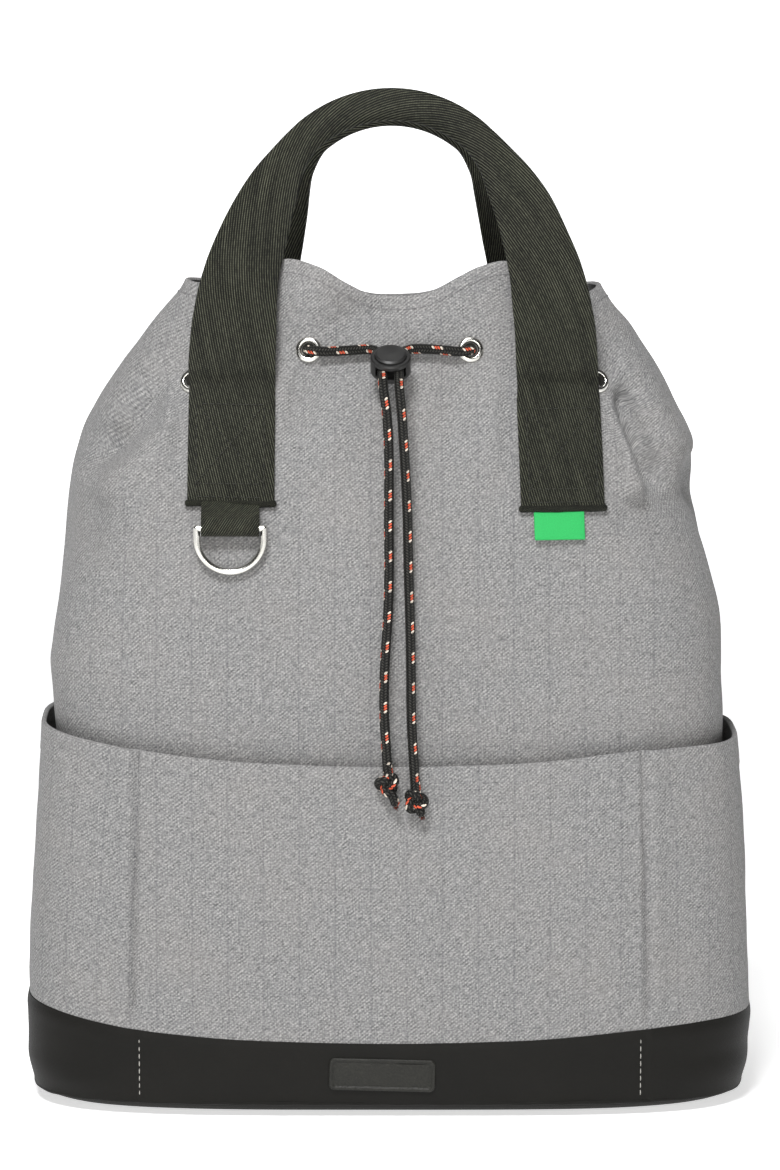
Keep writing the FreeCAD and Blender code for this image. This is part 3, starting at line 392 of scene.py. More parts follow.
# ------------------------------------------------------------------ shader helpers
class Nodes:
    def __init__(self, name):
        self.mat = bpy.data.materials.new(name)
        self.mat.use_nodes = True
        self.t = self.mat.node_tree
        self.t.nodes.clear()
        self.out = self.n("ShaderNodeOutputMaterial")
        self.b = self.n("ShaderNodeBsdfPrincipled")
        self.l(self.b.outputs[0], self.out.inputs[0])

    def n(self, kind, **kw):
        node = self.t.nodes.new(kind)
        for k, v in kw.items():
            setattr(node, k, v)
        return node

    def l(self, a, b):
        self.t.links.new(a, b)

    def val(self, socket, v):
        if hasattr(v, "is_output") or isinstance(v, bpy.types.NodeSocket):
            self.l(v, socket)
        else:
            socket.default_value = v

    def math(self, op, a, b=0.0, c=None, clamp=False):
        m = self.n("ShaderNodeMath", operation=op, use_clamp=clamp)
        self.val(m.inputs[0], a)
        self.val(m.inputs[1], b)
        if c is not None:
            self.val(m.inputs[2], c)
        return m.outputs[0]

    def uv(self):
        s = self.n("ShaderNodeSeparateXYZ")
        u = self.n("ShaderNodeUVMap", uv_map="UVMap")
        self.l(u.outputs[0], s.inputs[0])
        return s.outputs[0], s.outputs[1]

    def xyz(self):
        s = self.n("ShaderNodeSeparateXYZ")
        u = self.n("ShaderNodeTexCoord")
        self.l(u.outputs["Object"], s.inputs[0])
        return s.outputs[0], s.outputs[1], s.outputs[2]

    def vec(self, x, y, z=0.0):
        c = self.n("ShaderNodeCombineXYZ")
        self.val(c.inputs[0], x)
        self.val(c.inputs[1], y)
        self.val(c.inputs[2], z)
        return c.outputs[0]

    def noise(self, vec, scale, detail=2.0, rough=0.5):
        n = self.n("ShaderNodeTexNoise")
        self.l(vec, n.inputs["Vector"])
        n.inputs["Scale"].default_value = scale
        n.inputs["Detail"].default_value = detail
        n.inputs["Roughness"].default_value = rough
        return n.outputs["Fac"]

    def ramp(self, fac, stops, interp="LINEAR"):
        r = self.n("ShaderNodeValToRGB")
        r.color_ramp.interpolation = interp
        els = r.color_ramp.elements
        while len(els) < len(stops):
            els.new(0.5)
        for e, (p, c) in zip(els, stops):
            e.position = p
            e.color = (*c, 1.0) if len(c) == 3 else c
        self.l(fac, r.inputs[0])
        return r.outputs[0]

    def mix(self, fac, a, b, mode="MIX"):
        m = self.n("ShaderNodeMix", data_type="RGBA", blend_type=mode)
        m.clamp_factor = True
        self.val(m.inputs[0], fac)
        for s, v in ((m.inputs[6], a), (m.inputs[7], b)):
            if isinstance(v, (tuple, list)):
                s.default_value = (*v, 1.0) if len(v) == 3 else v
            else:
                self.l(v, s)
        return m.outputs[2]

    def sine(self, x, period, phase=0.0):
        """0..1 wave of x with that period."""
        a = self.math("MULTIPLY_ADD", x, 2 * pi / period, phase)
        return self.math("MULTIPLY_ADD", self.math("SINE", a), 0.5, 0.5)

    def bump(self, height, strength, distance):
        b = self.n("ShaderNodeBump")
        b.inputs["Strength"].default_value = strength
        b.inputs["Distance"].default_value = distance
        self.l(height, b.inputs["Height"])
        self.l(b.outputs[0], self.b.inputs["Normal"])
        return b

    def set(self, **kw):
        for k, v in kw.items():
            s = self.b.inputs[k.replace("_", " ")]
            if isinstance(v, (tuple, list)) and len(v) == 3:
                v = (*v, 1.0)
            self.val(s, v)
        return self.mat


def lin(r, g, b):
    """sRGB 0-255 to linear."""
    def f(c):
        c /= 255.0
        return c / 12.92 if c <= 0.04045 else ((c + 0.055) / 1.055) ** 2.4
    return (f(r), f(g), f(b))


# ------------------------------------------------------------------ materials
def grey_cloth(name, tint=1.0):
    """Light heather twill: broken diagonal ribs, slubs of darker and paler yarn, and a very faint windowpane."""
    m = Nodes(name)
    u, v = m.uv()
    ca, sa = math.cos(math.radians(40)), math.sin(math.radians(40))
    warp = m.noise(m.vec(u, v), 160.0, 2.0, 0.5)
    wob = m.math("MULTIPLY", m.math("SUBTRACT", warp, 0.5), 0.0009)
    diag = m.math("ADD", m.math("SUBTRACT", m.math("MULTIPLY", v, ca), m.math("MULTIPLY", u, sa)), wob)
    anti = m.math("ADD", m.math("MULTIPLY", v, ca), m.math("MULTIPLY", u, sa))
    rib = m.sine(diag, 0.00142)
    cross = m.sine(anti, 0.00128)
    patch = m.noise(m.vec(u, v, 3.0), 210.0, 3.0, 0.6)
    amp = m.ramp(patch, [(0.36, (0.15, 0.15, 0.15)), (0.64, (1.0, 1.0, 1.0))])
    fine = m.noise(m.vec(m.math("MULTIPLY", u, 900.0), m.math("MULTIPLY", v, 1050.0)), 1.0, 2.0, 0.55)
    slub_h = m.noise(m.vec(m.math("MULTIPLY", u, 240.0), m.math("MULTIPLY", v, 1300.0)), 1.0, 2.0, 0.6)
    slub_v = m.noise(m.vec(m.math("MULTIPLY", u, 1300.0), m.math("MULTIPLY", v, 240.0), 9.0), 1.0, 2.0, 0.6)
    wide = m.noise(m.vec(u, v), 24.0, 3.0, 0.6)

    def pane(a, b, pitch, seed):
        f = m.math("FRACT", m.math("DIVIDE", m.math("ADD", a, 5.0), pitch))
        near = m.math("SUBTRACT", 1.0, m.math("MULTIPLY", m.math("ABSOLUTE", m.math("SUBTRACT", f, 0.5)), 22.0), clamp=True)
        dash = m.noise(m.vec(m.math("MULTIPLY", b, 330.0), m.math("FLOOR", m.math("DIVIDE", m.math("ADD", a, 5.0), pitch)), seed), 1.0, 2.0, 0.6)
        return m.math("MULTIPLY", near, m.math("MULTIPLY", m.math("SUBTRACT", dash, 0.36, clamp=True), 4.0, clamp=True))

    lines = m.math("MAXIMUM", pane(u, v, 0.0165, 1.0), m.math("MULTIPLY", pane(v, u, 0.0165, 4.0), 0.55))
    tone = m.math("MULTIPLY", m.math("MULTIPLY", m.math("SUBTRACT", m.math("MULTIPLY", rib, m.math("MULTIPLY_ADD", cross, 0.55, 0.45)), 0.36), amp), 0.62)
    tone = m.math("ADD", tone, m.math("MULTIPLY", m.math("SUBTRACT", fine, 0.5), 1.15))
    tone = m.math("ADD", tone, m.math("MULTIPLY", m.math("SUBTRACT", slub_h, 0.5), 0.75))
    tone = m.math("ADD", tone, m.math("MULTIPLY", m.math("SUBTRACT", slub_v, 0.5), 0.85))
    tone = m.math("ADD", tone, 0.5, clamp=True)
    dark, mid, light = lin(84, 84, 84), lin(125, 125, 125), lin(166, 165, 163)
    col = m.ramp(tone, [(0.06, tuple(c * tint for c in dark)), (0.50, tuple(c * tint for c in mid)), (0.96, tuple(c * tint for c in light))])
    col = m.mix(m.math("MULTIPLY", lines, 0.50), col, lin(84, 83, 88))
    col = m.mix(m.math("MULTIPLY", m.math("SUBTRACT", wide, 0.42, clamp=True), 0.5), col, lin(148, 142, 137))
    h = m.math("ADD", m.math("MULTIPLY", rib, 0.55), m.math("ADD", m.math("MULTIPLY", fine, 0.6), m.math("MULTIPLY", lines, -0.3)))
    m.bump(h, 0.5, 0.00032)
    m.set(Base_Color=col, Roughness=0.9)
    m.b.inputs["Sheen Weight"].default_value = 0.06
    m.b.inputs["Sheen Roughness"].default_value = 0.5
    m.b.inputs["Specular IOR Level"].default_value = 0.18
    return m.mat


def webbing(name, slope=0.27):
    """Heavy twill tape: steep raised ribs, each broken by the picks that cross it."""
    m = Nodes(name)
    u, v = m.uv()
    t = m.math("ADD", u, m.math("MULTIPLY", v, slope))
    rib = m.sine(t, 0.00116)
    pick = m.sine(m.math("SUBTRACT", v, m.math("MULTIPLY", u, 0.25)), 0.00078)
    worn = m.noise(m.vec(m.math("MULTIPLY", u, 90.0), m.math("MULTIPLY", v, 60.0)), 1.0, 4.0, 0.6)
    fine = m.noise(m.vec(m.math("MULTIPLY", t, 1500.0), m.math("MULTIPLY", v, 420.0)), 1.0, 2.0, 0.6)
    band = m.noise(m.vec(m.math("MULTIPLY", t, 240.0), m.math("MULTIPLY", v, 22.0)), 1.0, 2.0, 0.6)
    tone = m.math("ADD", m.math("MULTIPLY", rib, 0.62), m.math("MULTIPLY", m.math("MULTIPLY", pick, rib), 0.24))
    tone = m.math("ADD", tone, m.math("MULTIPLY", m.math("SUBTRACT", fine, 0.5), 0.7))
    tone = m.math("ADD", tone, m.math("MULTIPLY", m.math("SUBTRACT", band, 0.5), 0.45), clamp=True)
    # painted highlight and painted shade: the colour follows the ribs, rib tops lighter and the valleys between them
    # near-black, broken by random yarn tone
    col = m.ramp(tone, [(0.12, lin(4, 5, 3)), (0.50, lin(28, 29, 23)), (0.88, lin(92, 94, 78))])
    col = m.mix(m.math("MULTIPLY", m.math("SUBTRACT", worn, 0.4, clamp=True), 0.4), col, lin(56, 56, 48))
    h = m.math("ADD", m.math("MULTIPLY", rib, 0.9), m.math("ADD", m.math("MULTIPLY", m.math("MULTIPLY", pick, rib), 0.35), m.math("MULTIPLY", fine, 0.2)))
    m.bump(h, 0.75, 0.00045)
    m.set(Base_Color=col, Roughness=0.66)
    m.b.inputs["Specular IOR Level"].default_value = 0.2
    m.b.inputs["Sheen Weight"].default_value = 0.01
    return m.mat


def base_cloth(name):
    m = Nodes(name)
    u, v = m.uv()
    uvv = m.vec(u, v)
    weave = m.math("MULTIPLY", m.sine(u, 0.0006), m.sine(v, 0.0006))
    big = m.noise(uvv, 22.0, 4.0, 0.6)
    fine = m.noise(uvv, 900.0, 3.0, 0.6)
    col = m.ramp(m.math("ADD", m.math("MULTIPLY", fine, 0.5), m.math("MULTIPLY", big, 0.5)), [(0.25, lin(12, 12, 10)), (0.6, lin(20, 19, 16)), (0.85, lin(31, 30, 26))])
    h = m.math("ADD", m.math("MULTIPLY", weave, 0.35), m.math("ADD", m.math("MULTIPLY", fine, 0.55), m.math("MULTIPLY", big, 0.8)))
    m.bump(h, 0.42, 0.0004)
    m.set(Base_Color=col, Roughness=m.math("MULTIPLY_ADD", fine, 0.16, 0.52))
    m.b.inputs["Specular IOR Level"].default_value = 0.17
    return m.mat


def braid(name):
    """Black braided cord; U once round, V metres along. Eight rows of slanted stitches, and bright yarn in groups of four."""
    m = Nodes(name)
    u, v = m.uv()
    cell = 0.0013
    u8 = m.math("MULTIPLY", m.math("FRACT", m.math("ADD", u, 4.0)), 8.0)
    k = m.math("FLOOR", u8)
    fu = m.math("SUBTRACT", m.math("FRACT", u8), 0.5)
    odd = m.math("MODULO", k, 2.0)
    lean = m.math("MULTIPLY_ADD", odd, 2.0, -1.0)
    tilt = m.math("MULTIPLY", m.math("MULTIPLY", fu, lean), 0.62)

    def cellv(off):
        g = m.math("MULTIPLY", m.math("FRACT", m.math("DIVIDE", m.math("ADD", v, off + 1.39), 0.0139)), 0.0139 / cell)
        return m.math("ADD", g, tilt)

    c0 = m.math("ADD", m.math("DIVIDE", m.math("ADD", v, 1.3), cell), m.math("ADD", tilt, m.math("MULTIPLY", odd, 0.5)))
    d0 = m.math("SUBTRACT", m.math("FRACT", c0), 0.5)
    oval = m.math("SUBTRACT", 1.0, m.math("ADD", m.math("MULTIPLY", m.math("MULTIPLY", d0, d0), 3.4), m.math("MULTIPLY", m.math("MULTIPLY", fu, fu), 2.9)), clamp=True)

    def group(column, off):
        g = cellv(off)
        i = m.math("FLOOR", g)
        d = m.math("SUBTRACT", m.math("FRACT", g), 0.5)
        inside = m.math("LESS_THAN", m.math("ADD", m.math("MULTIPLY", m.math("MULTIPLY", d, d), 5.2), m.math("MULTIPLY", m.math("MULTIPLY", fu, fu), 4.6)), 1.0)
        among = m.math("MULTIPLY", m.math("GREATER_THAN", g, 0.0), m.math("LESS_THAN", g, 4.0))
        here = m.math("COMPARE", k, float(column), 0.1)
        on = m.math("MULTIPLY", m.math("MULTIPLY", inside, among), here)
        mid = m.math("MULTIPLY", m.math("GREATER_THAN", g, 1.0), m.math("LESS_THAN", g, 3.0))
        return on, m.math("MULTIPLY", on, mid)

    on, orange = None, None
    for column, off in ((0, 0.0), (6, 0.0040), (3, 0.0018)):
        a, b = group(column, off)
        on = a if on is None else m.math("MAXIMUM", on, a)
        orange = b if orange is None else m.math("MAXIMUM", orange, b)
    fuzz = m.noise(m.vec(m.math("MULTIPLY", u, 60.0), m.math("MULTIPLY", v, 2600.0)), 1.0, 2.0, 0.6)
    # painted highlight and painted shade: the black yarn is lighter in the middle of each stitch and near-black at its
    # edges, in the grooves between stitches, with some random fuzz tone
    black = m.ramp(m.math("ADD", m.math("MULTIPLY", oval, 0.75), m.math("MULTIPLY", fuzz, 0.25)), [(0.12, lin(2, 2, 2)), (0.55, lin(26, 26, 24)), (0.95, lin(66, 65, 60))])
    bright = m.mix(orange, m.mix(fuzz, lin(252, 240, 226), lin(214, 200, 182)), m.mix(fuzz, lin(240, 108, 74), lin(196, 76, 50)))
    col = m.mix(on, black, bright)
    m.bump(m.math("ADD", oval, m.math("MULTIPLY", fuzz, 0.2)), 1.0, 0.0009)
    m.set(Base_Color=col, Roughness=0.62)
    m.b.inputs["Specular IOR Level"].default_value = 0.3
    return m.mat


def nickel(name):
    m = Nodes(name)
    x, y, z = m.xyz()
    v = m.vec(x, y, z)
    f = m.noise(v, 900.0, 3.0, 0.6)
    g = m.noise(v, 60.0, 3.0, 0.6)
    col = m.ramp(g, [(0.3, lin(196, 195, 188)), (0.7, lin(226, 225, 220))])
    m.bump(f, 0.06, 0.0002)
    m.set(Base_Color=col, Metallic=1.0, Roughness=m.math("MULTIPLY_ADD", f, 0.14, 0.15))
    return m.mat


def black_plastic(name):
    m = Nodes(name)
    x, y, z = m.xyz()
    v = m.vec(x, y, z)
    f = m.noise(v, 2600.0, 2.0, 0.6)
    g = m.noise(v, 150.0, 3.0, 0.6)
    col = m.ramp(g, [(0.3, lin(24, 24, 24)), (0.75, lin(38, 38, 37))])
    m.bump(f, 0.18, 0.00012)
    m.set(Base_Color=col, Roughness=m.math("MULTIPLY_ADD", g, 0.18, 0.34))
    m.b.inputs["Specular IOR Level"].default_value = 0.5
    return m.mat


def leather(name):
    m = Nodes(name)
    u, v = m.uv()
    vor = m.n("ShaderNodeTexVoronoi")
    m.l(m.vec(u, v), vor.inputs["Vector"])
    vor.inputs["Scale"].default_value = 1150.0
    g = m.noise(m.vec(u, v), 60.0, 3.0, 0.6)
    col = m.ramp(m.math("ADD", m.math("MULTIPLY", vor.outputs["Distance"], 0.5), m.math("MULTIPLY", g, 0.5)), [(0.2, lin(18, 18, 15)), (0.7, lin(33, 33, 28))])
    m.bump(m.math("ADD", vor.outputs["Distance"], m.math("MULTIPLY", g, 0.4)), 0.6, 0.0003)
    m.set(Base_Color=col, Roughness=0.48)
    m.b.inputs["Specular IOR Level"].default_value = 0.3
    return m.mat


def thread(name, rgb):
    m = Nodes(name)
    x, y, z = m.xyz()
    f = m.noise(m.vec(x, y, z), 2500.0, 2.0, 0.6)
    col = m.ramp(f, [(0.25, tuple(c * 0.7 for c in lin(*rgb))), (0.8, lin(*rgb))])
    m.bump(f, 0.4, 0.0001)
    m.set(Base_Color=col, Roughness=0.7)
    return m.mat


def label_cloth(name):
    m = Nodes(name)
    u, v = m.uv()
    w = m.math("MULTIPLY", m.sine(u, 0.0005), m.sine(v, 0.00042))
    f = m.noise(m.vec(u, v), 1500.0, 2.0, 0.6)
    col = m.ramp(m.math("ADD", m.math("MULTIPLY", w, 0.5), m.math("MULTIPLY", f, 0.5)), [(0.15, lin(22, 150, 74)), (0.7, lin(38, 188, 94))])
    m.bump(m.math("ADD", w, f), 0.35, 0.0002)
    m.set(Base_Color=col, Roughness=0.7)
    return m.mat


def lining_cloth(name):
    m = Nodes(name)
    u, v = m.uv()
    w = m.math("ADD", m.sine(u, 0.0008), m.sine(v, 0.0008))
    big = m.noise(m.vec(u, v), 18.0, 4.0, 0.6)
    col = m.ramp(m.math("ADD", m.math("MULTIPLY", w, 0.25), m.math("MULTIPLY", big, 0.5)), [(0.2, lin(94, 94, 98)), (0.8, lin(150, 150, 153))])
    m.bump(m.math("ADD", m.math("MULTIPLY", w, 0.2), big), 0.5, 0.0009)
    m.set(Base_Color=col, Roughness=0.7)
    return m.mat


GREY = grey_cloth("grey_cloth")
WEB = webbing("webbing")
WEB_LOOP = webbing("webbing_loop", slope=0.7)
BASE = base_cloth("base_cloth")
BRAID = braid("braided_cord")
NICKEL = nickel("nickel")
PLASTIC = black_plastic("black_plastic")
LEATHER = leather("grained_patch")
THREAD_DARK = thread("thread_dark", (52, 52, 46))
THREAD_WEB = thread("thread_web", (40, 41, 34))
THREAD_GREY = thread("thread_grey", (128, 127, 129))
THREAD_LIGHT = thread("thread_light", (176, 174, 168))
GREEN = label_cloth("label_cloth")
LINING = lining_cloth("lining")

# ------------------------------------------------------------------ free cords
MM = 0.001
LEFT_ROUTE = [
    (-37.9, -51.0, 353.5), (-34.2, -53.4, 353.0), (-27.6, -54.2, 352.9), (-17.6, -54.4, 353.6), (-7.4, -54.2, 354.2),
    (-3.7, -59.4, 351.1), (-3.4, -73.0, 342.5), (-3.0, -79.4, 336.6), (-1.3, -81.4, 326.0), (-0.3, -81.4, 306.0),
    (-0.6, -81.6, 280.0), (-0.3, -82.2, 255.0), (-0.9, -82.6, 232.0), (-2.4, -83.6, 213.0), (-2.9, -85.6, 190.0),
    (-1.7, -88.4, 173.0), (-1.1, -89.4, 162.4),
]
RIGHT_ROUTE = [
    (37.5, -51.0, 353.5), (33.8, -53.4, 352.6), (27.2, -54.2, 353.3), (17.8, -54.4, 354.2), (8.0, -54.2, 354.2),
    (4.3, -59.4, 351.1), (4.0, -73.0, 342.5), (4.3, -79.4, 336.6), (5.4, -81.4, 326.0), (6.8, -81.2, 304.0),
    (8.0, -81.6, 279.0), (8.4, -82.2, 255.0), (9.2, -82.6, 231.0), (9.6, -84.0, 207.0), (9.7, -86.0, 185.0),
    (10.8, -88.6, 168.0), (11.6, -89.4, 154.6),
]
CORD_D = 0.0045


def metres(route):
    return [tuple(c * MM for c in p) for p in route]


def knot_piece(name, top, tip, turn, replaced, seed):
    """A pulled-tight overhand knot with a short cut end below it."""
    t = np.linspace(0, 2 * pi, 97)[:-1]
    s = 1.42
    K = np.stack([np.sin(t) + 2 * np.sin(2 * t), -np.sin(3 * t) * 1.15, np.cos(t) - 2 * np.cos(2 * t)], 1) * s * MM
    K[:, 2] *= 0.98
    c, sn = math.cos(turn), math.sin(turn)
    K = np.stack([K[:, 0] * c - K[:, 2] * sn, K[:, 1], K[:, 0] * sn + K[:, 2] * c], 1)
    centre = np.array([top[0], top[1], top[2] - 0.0058])
    b = Build()
    loop = K + centre
    closed = np.concatenate([loop, loop[:2]])
    tube_build(b, closed, 0.0020, 18, caps=False)
    # the tail comes in at the top and the cut end leaves below
    a0 = np.array(top) + np.array([0, 0, 0.003])
    a1 = centre + np.array([0.0006, -0.0010, 0.0034])
    tube_build(b, np.linspace(a0, a1, 8), 0.00215, 18, v0=0.01)
    e = np.array(tip, float)
    route = [tuple(centre + np.array([0.0, 0.0, -0.002])), tuple(centre * 0.45 + e * 0.55 + np.array([0.0008, -0.0006, 0.0])), tuple(e)]
    pts = curve_points(route, 8)
    r = np.full(len(pts), 0.0021)
    tube_build(b, pts, r, 18, v0=0.004)
    # frayed, heat-sealed tip
    P, T, N, B, S = frames_along(pts)
    rng = np.random.RandomState(seed)
    for k in range(16):
        a = rng.rand() * 2 * pi
        q = rng.rand() * 0.0014
        p0 = P[-1] + (math.cos(a) * N[-1] + math.sin(a) * B[-1]) * q
        p1 = p0 + T[-1] * (0.0014 + 0.0013 * rng.rand()) + (rng.rand(3) - 0.5) * 0.0008
        tube_build(b, [tuple(p0), tuple((p0 + p1) / 2), tuple(p1)], 0.00022, 5)
    ob = b.make(name, [BRAID])
    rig.replaces(ob, replaced)
    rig.slot(ob, "cord")
    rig.ride(ob, "drawcord")
    return ob


def tail(name, route, replaced, knot_name, knot_node, tip, turn, weld, others, seed):
    pts = curve_points(metres(route))
    b = Build()
    tube_build(b, pts, CORD_D / 2, 24)
    ob = b.make(name, [BRAID])
    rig.replaces(ob, replaced)
    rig.slot(ob, "cord")
    P = np.asarray(pts)
    length = float(np.linalg.norm(np.diff(P, axis=0), axis=1).sum())
    k = knot_piece(knot_name, pts[-1], tip, turn, knot_node, seed)
    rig.cord(
        ob, exit=pts[0], length=round(length, 4), diameter=CORD_D, far_end="knot", stiffness="limp", lay="hanging",
        path=pts, with_pieces=[k] + others,
    )
    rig.blend(ob, "bag", "drawcord", start=weld[0], end=weld[1])
    return ob, length, k


SLOTS = [m.get("slot") for m in frame["record"].get("materials", [])]
_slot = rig.slot


def slot_if(ob, name):
    if name in SLOTS:
        _slot(ob, name)


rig.slot = slot_if
tail_l, len_l, knot_l = tail(
    "cord_tail_left", LEFT_ROUTE, "drawcord_tail_left", "knot_left_tied", "knot_left", (0.0024, -0.0905, 0.1478), 0.35,
    ((-0.0375, -0.053, 0.3535), (-0.009, -0.0545, 0.354)), ["cord_lock_barrel", "cord_lock_plunger"], 3,
)
tail_r, len_r, knot_r = tail(
    "cord_tail_right", RIGHT_ROUTE, "drawcord_tail_right", "knot_right_tied", "knot_right", (0.0142, -0.0905, 0.1432), -0.5,
    ((0.0375, -0.053, 0.3535), (0.0105, -0.0545, 0.354)), [], 5,
)

# ------------------------------------------------------------------ plan of the bag, millimetres
SKIN = [(4, 168.0, 165.8, 82.0, 82.0, 4), (8, 168.6, 166.4, 82.4, 82.4, 4), (22, 171.2, 169.2, 83.8, 83.8, 4), (45, 171.2, 170.8, 84, 84, 4), (80, 171, 169.6, 84.2, 84.2, 4),
        (118, 169.2, 168.2, 84.2, 84.2, 4), (147, 167.2, 166.2, 84, 84, 4), (184, 164.2, 163, 83.6, 83.6, 3.9)]
BODY = [(8.4, 165.6, 163.2, 79.4, 79.4, 4), (24, 168, 165.8, 81, 81, 4), (42, 166.5, 165.5, 80.4, 81.4, 4), (62, 162.4, 161.8, 77, 81.6, 4),
        (90, 160.2, 159.6, 76.6, 81.7, 4), (125, 158.6, 158.2, 76.6, 81.6, 4), (165, 157.4, 157.2, 76.8, 81.2, 3.9), (192, 159.8, 157.8, 77, 80.2, 3.8),
        (205, 160.4, 157.2, 77, 79.6, 3.7), (216, 158.9, 155.8, 76.8, 79, 3.6), (232, 157.8, 153.2, 76.2, 78, 3.45), (246, 156.4, 150.2, 75.4, 76.8, 3.3),
        (259, 154.8, 147.6, 74.2, 75.3, 3.15), (272, 153.8, 144.6, 72.8, 73.6, 3), (285, 152.0, 142.0, 70.2, 71.0, 2.88), (298, 150, 142.9, 67.2, 68, 2.75),
        (308, 147.2, 143.0, 64.2, 65, 2.65), (317, 144, 140, 61.4, 62.2, 2.55), (326, 139.2, 135.2, 58.8, 59.4, 2.46), (336, 133.0, 130.2, 55.6, 56.0, 2.38),
        (345, 127.0, 125.3, 52.8, 53.2, 2.3), (354, 120.2, 119.8, 50.6, 51.0, 2.24), (364, 113.6, 114, 48.5, 48.9, 2.18), (373, 106.2, 106.2, 46.8, 47.2, 2.13),
        (380, 100.4, 101.6, 45.9, 46.3, 2.1), (387, 96.4, 97.6, 45.2, 45.6, 2.08), (398, 90, 93, 44.4, 44.8, 2.05)]
TRAY = [(0, 150, 149, 66, 66, 3.8), (1.0, 157, 155.6, 71.6, 71.6, 3.85), (2.4, 161.6, 160.0, 75.8, 75.8, 3.9), (5, 166.2, 164.4, 80.2, 80.2, 4), (8.6, 168.8, 166.6, 82.6, 82.6, 4)]
BAND_LINE = [(-185, 51), (-171, 49), (-148, 44.8), (-118, 40), (-60, 35.6), (0, 34.3), (60, 35.6), (118, 40), (148, 42.2), (171, 43), (185, 43.2)]
HEM_LINE = [(-185, 180), (-165, 177.6), (-145, 174), (-118, 170), (-60, 164.4), (0, 162.6), (60, 164.2), (118, 169.4), (145, 170.2), (165, 170.4), (185, 170.4)]
RIM_LINE = [(-180, 383.4), (-120, 383.6), (-98, 383.6), (-90, 382.2), (-84, 383.0), (-74, 388), (-60, 393.6), (-47, 393.8), (-33, 390.2), (-20, 382.5), (-9, 377.6), (2, 376.8),
            (13, 377.6), (21, 380), (32, 385.6), (42, 390.3), (53, 392.8), (65, 391.6), (76, 386.0), (84, 378.5), (90, 376.8), (96, 379.0), (101, 381.6), (120, 381.6), (180, 381.4)]
REAR_RIM = [(-180, 383.4), (-98, 383.6), (-80, 382), (-60, 386), (-45, 388), (-33, 385), (-20, 378.4), (-12, 375.3), (-5, 374.4), (3, 374.4), (12, 374.7), (21, 376.2), (32, 381.4), (42, 386), (53, 388), (66, 386), (84, 379.5), (98, 381.6), (180, 381.4)]

_t = np.linspace(0, 2 * pi, 20001)


def sup(tab, t, z):
    """Plan points (x, y) for angles t at heights z."""
    L, R, F, B, n = table(tab, z)
    c, s = np.cos(t), np.sin(t)
    k = (np.abs(c) ** n + np.abs(s) ** n) ** (-1.0 / n)
    return np.where(c > 0, R, L) * c * k, np.where(s > 0, B, F) * s * k


def even_angles(tab, z, count, lo=-1.5 * pi, hi=0.5 * pi, fine=None):
    """Angles that are evenly apart along the plan at height z, from the middle of the back right round."""
    t = np.linspace(lo, hi, 20001)
    x, y = sup(tab, t, np.full_like(t, z))
    s = np.concatenate([[0], np.cumsum(np.hypot(np.diff(x), np.diff(y)))])
    return np.interp(np.linspace(0, s[-1], count), s, t)


def body_y(x, z, side):
    """The body's face at x and z, in millimetres."""
    L, R, F, B, n = table(BODY, z)
    a = np.where(np.asarray(x) > 0, R, L)
    b = np.where(side > 0, B, F)
    q = np.clip(np.abs(np.asarray(x, float)) / a, 0, 0.9999)
    return side * b * (1 - q**n) ** (1.0 / n)


def seg_fold(X, Z, p0, p1, wide_l, wide_r, amp, ends=10.0):
    """A fold along p0-p1 on a face: its own spread on each side of the line."""
    p0, p1 = np.array(p0, float), np.array(p1, float)
    d = p1 - p0
    L = np.hypot(*d)
    d = d / L
    s = (X - p0[0]) * d[0] + (Z - p0[1]) * d[1]
    w = (X - p0[0]) * d[1] - (Z - p0[1]) * d[0]
    spread = np.where(w > 0, wide_r, wide_l)
    along = smoothstep(-ends, ends, s) * smoothstep(-ends, ends, L - s)
    return amp * np.exp(-((w / spread) ** 2)) * along


def spot(X, Z, c, rx, rz, amp):
    return amp * np.exp(-(((X - c[0]) / rx) ** 2) - ((Z - c[1]) / rz) ** 2)


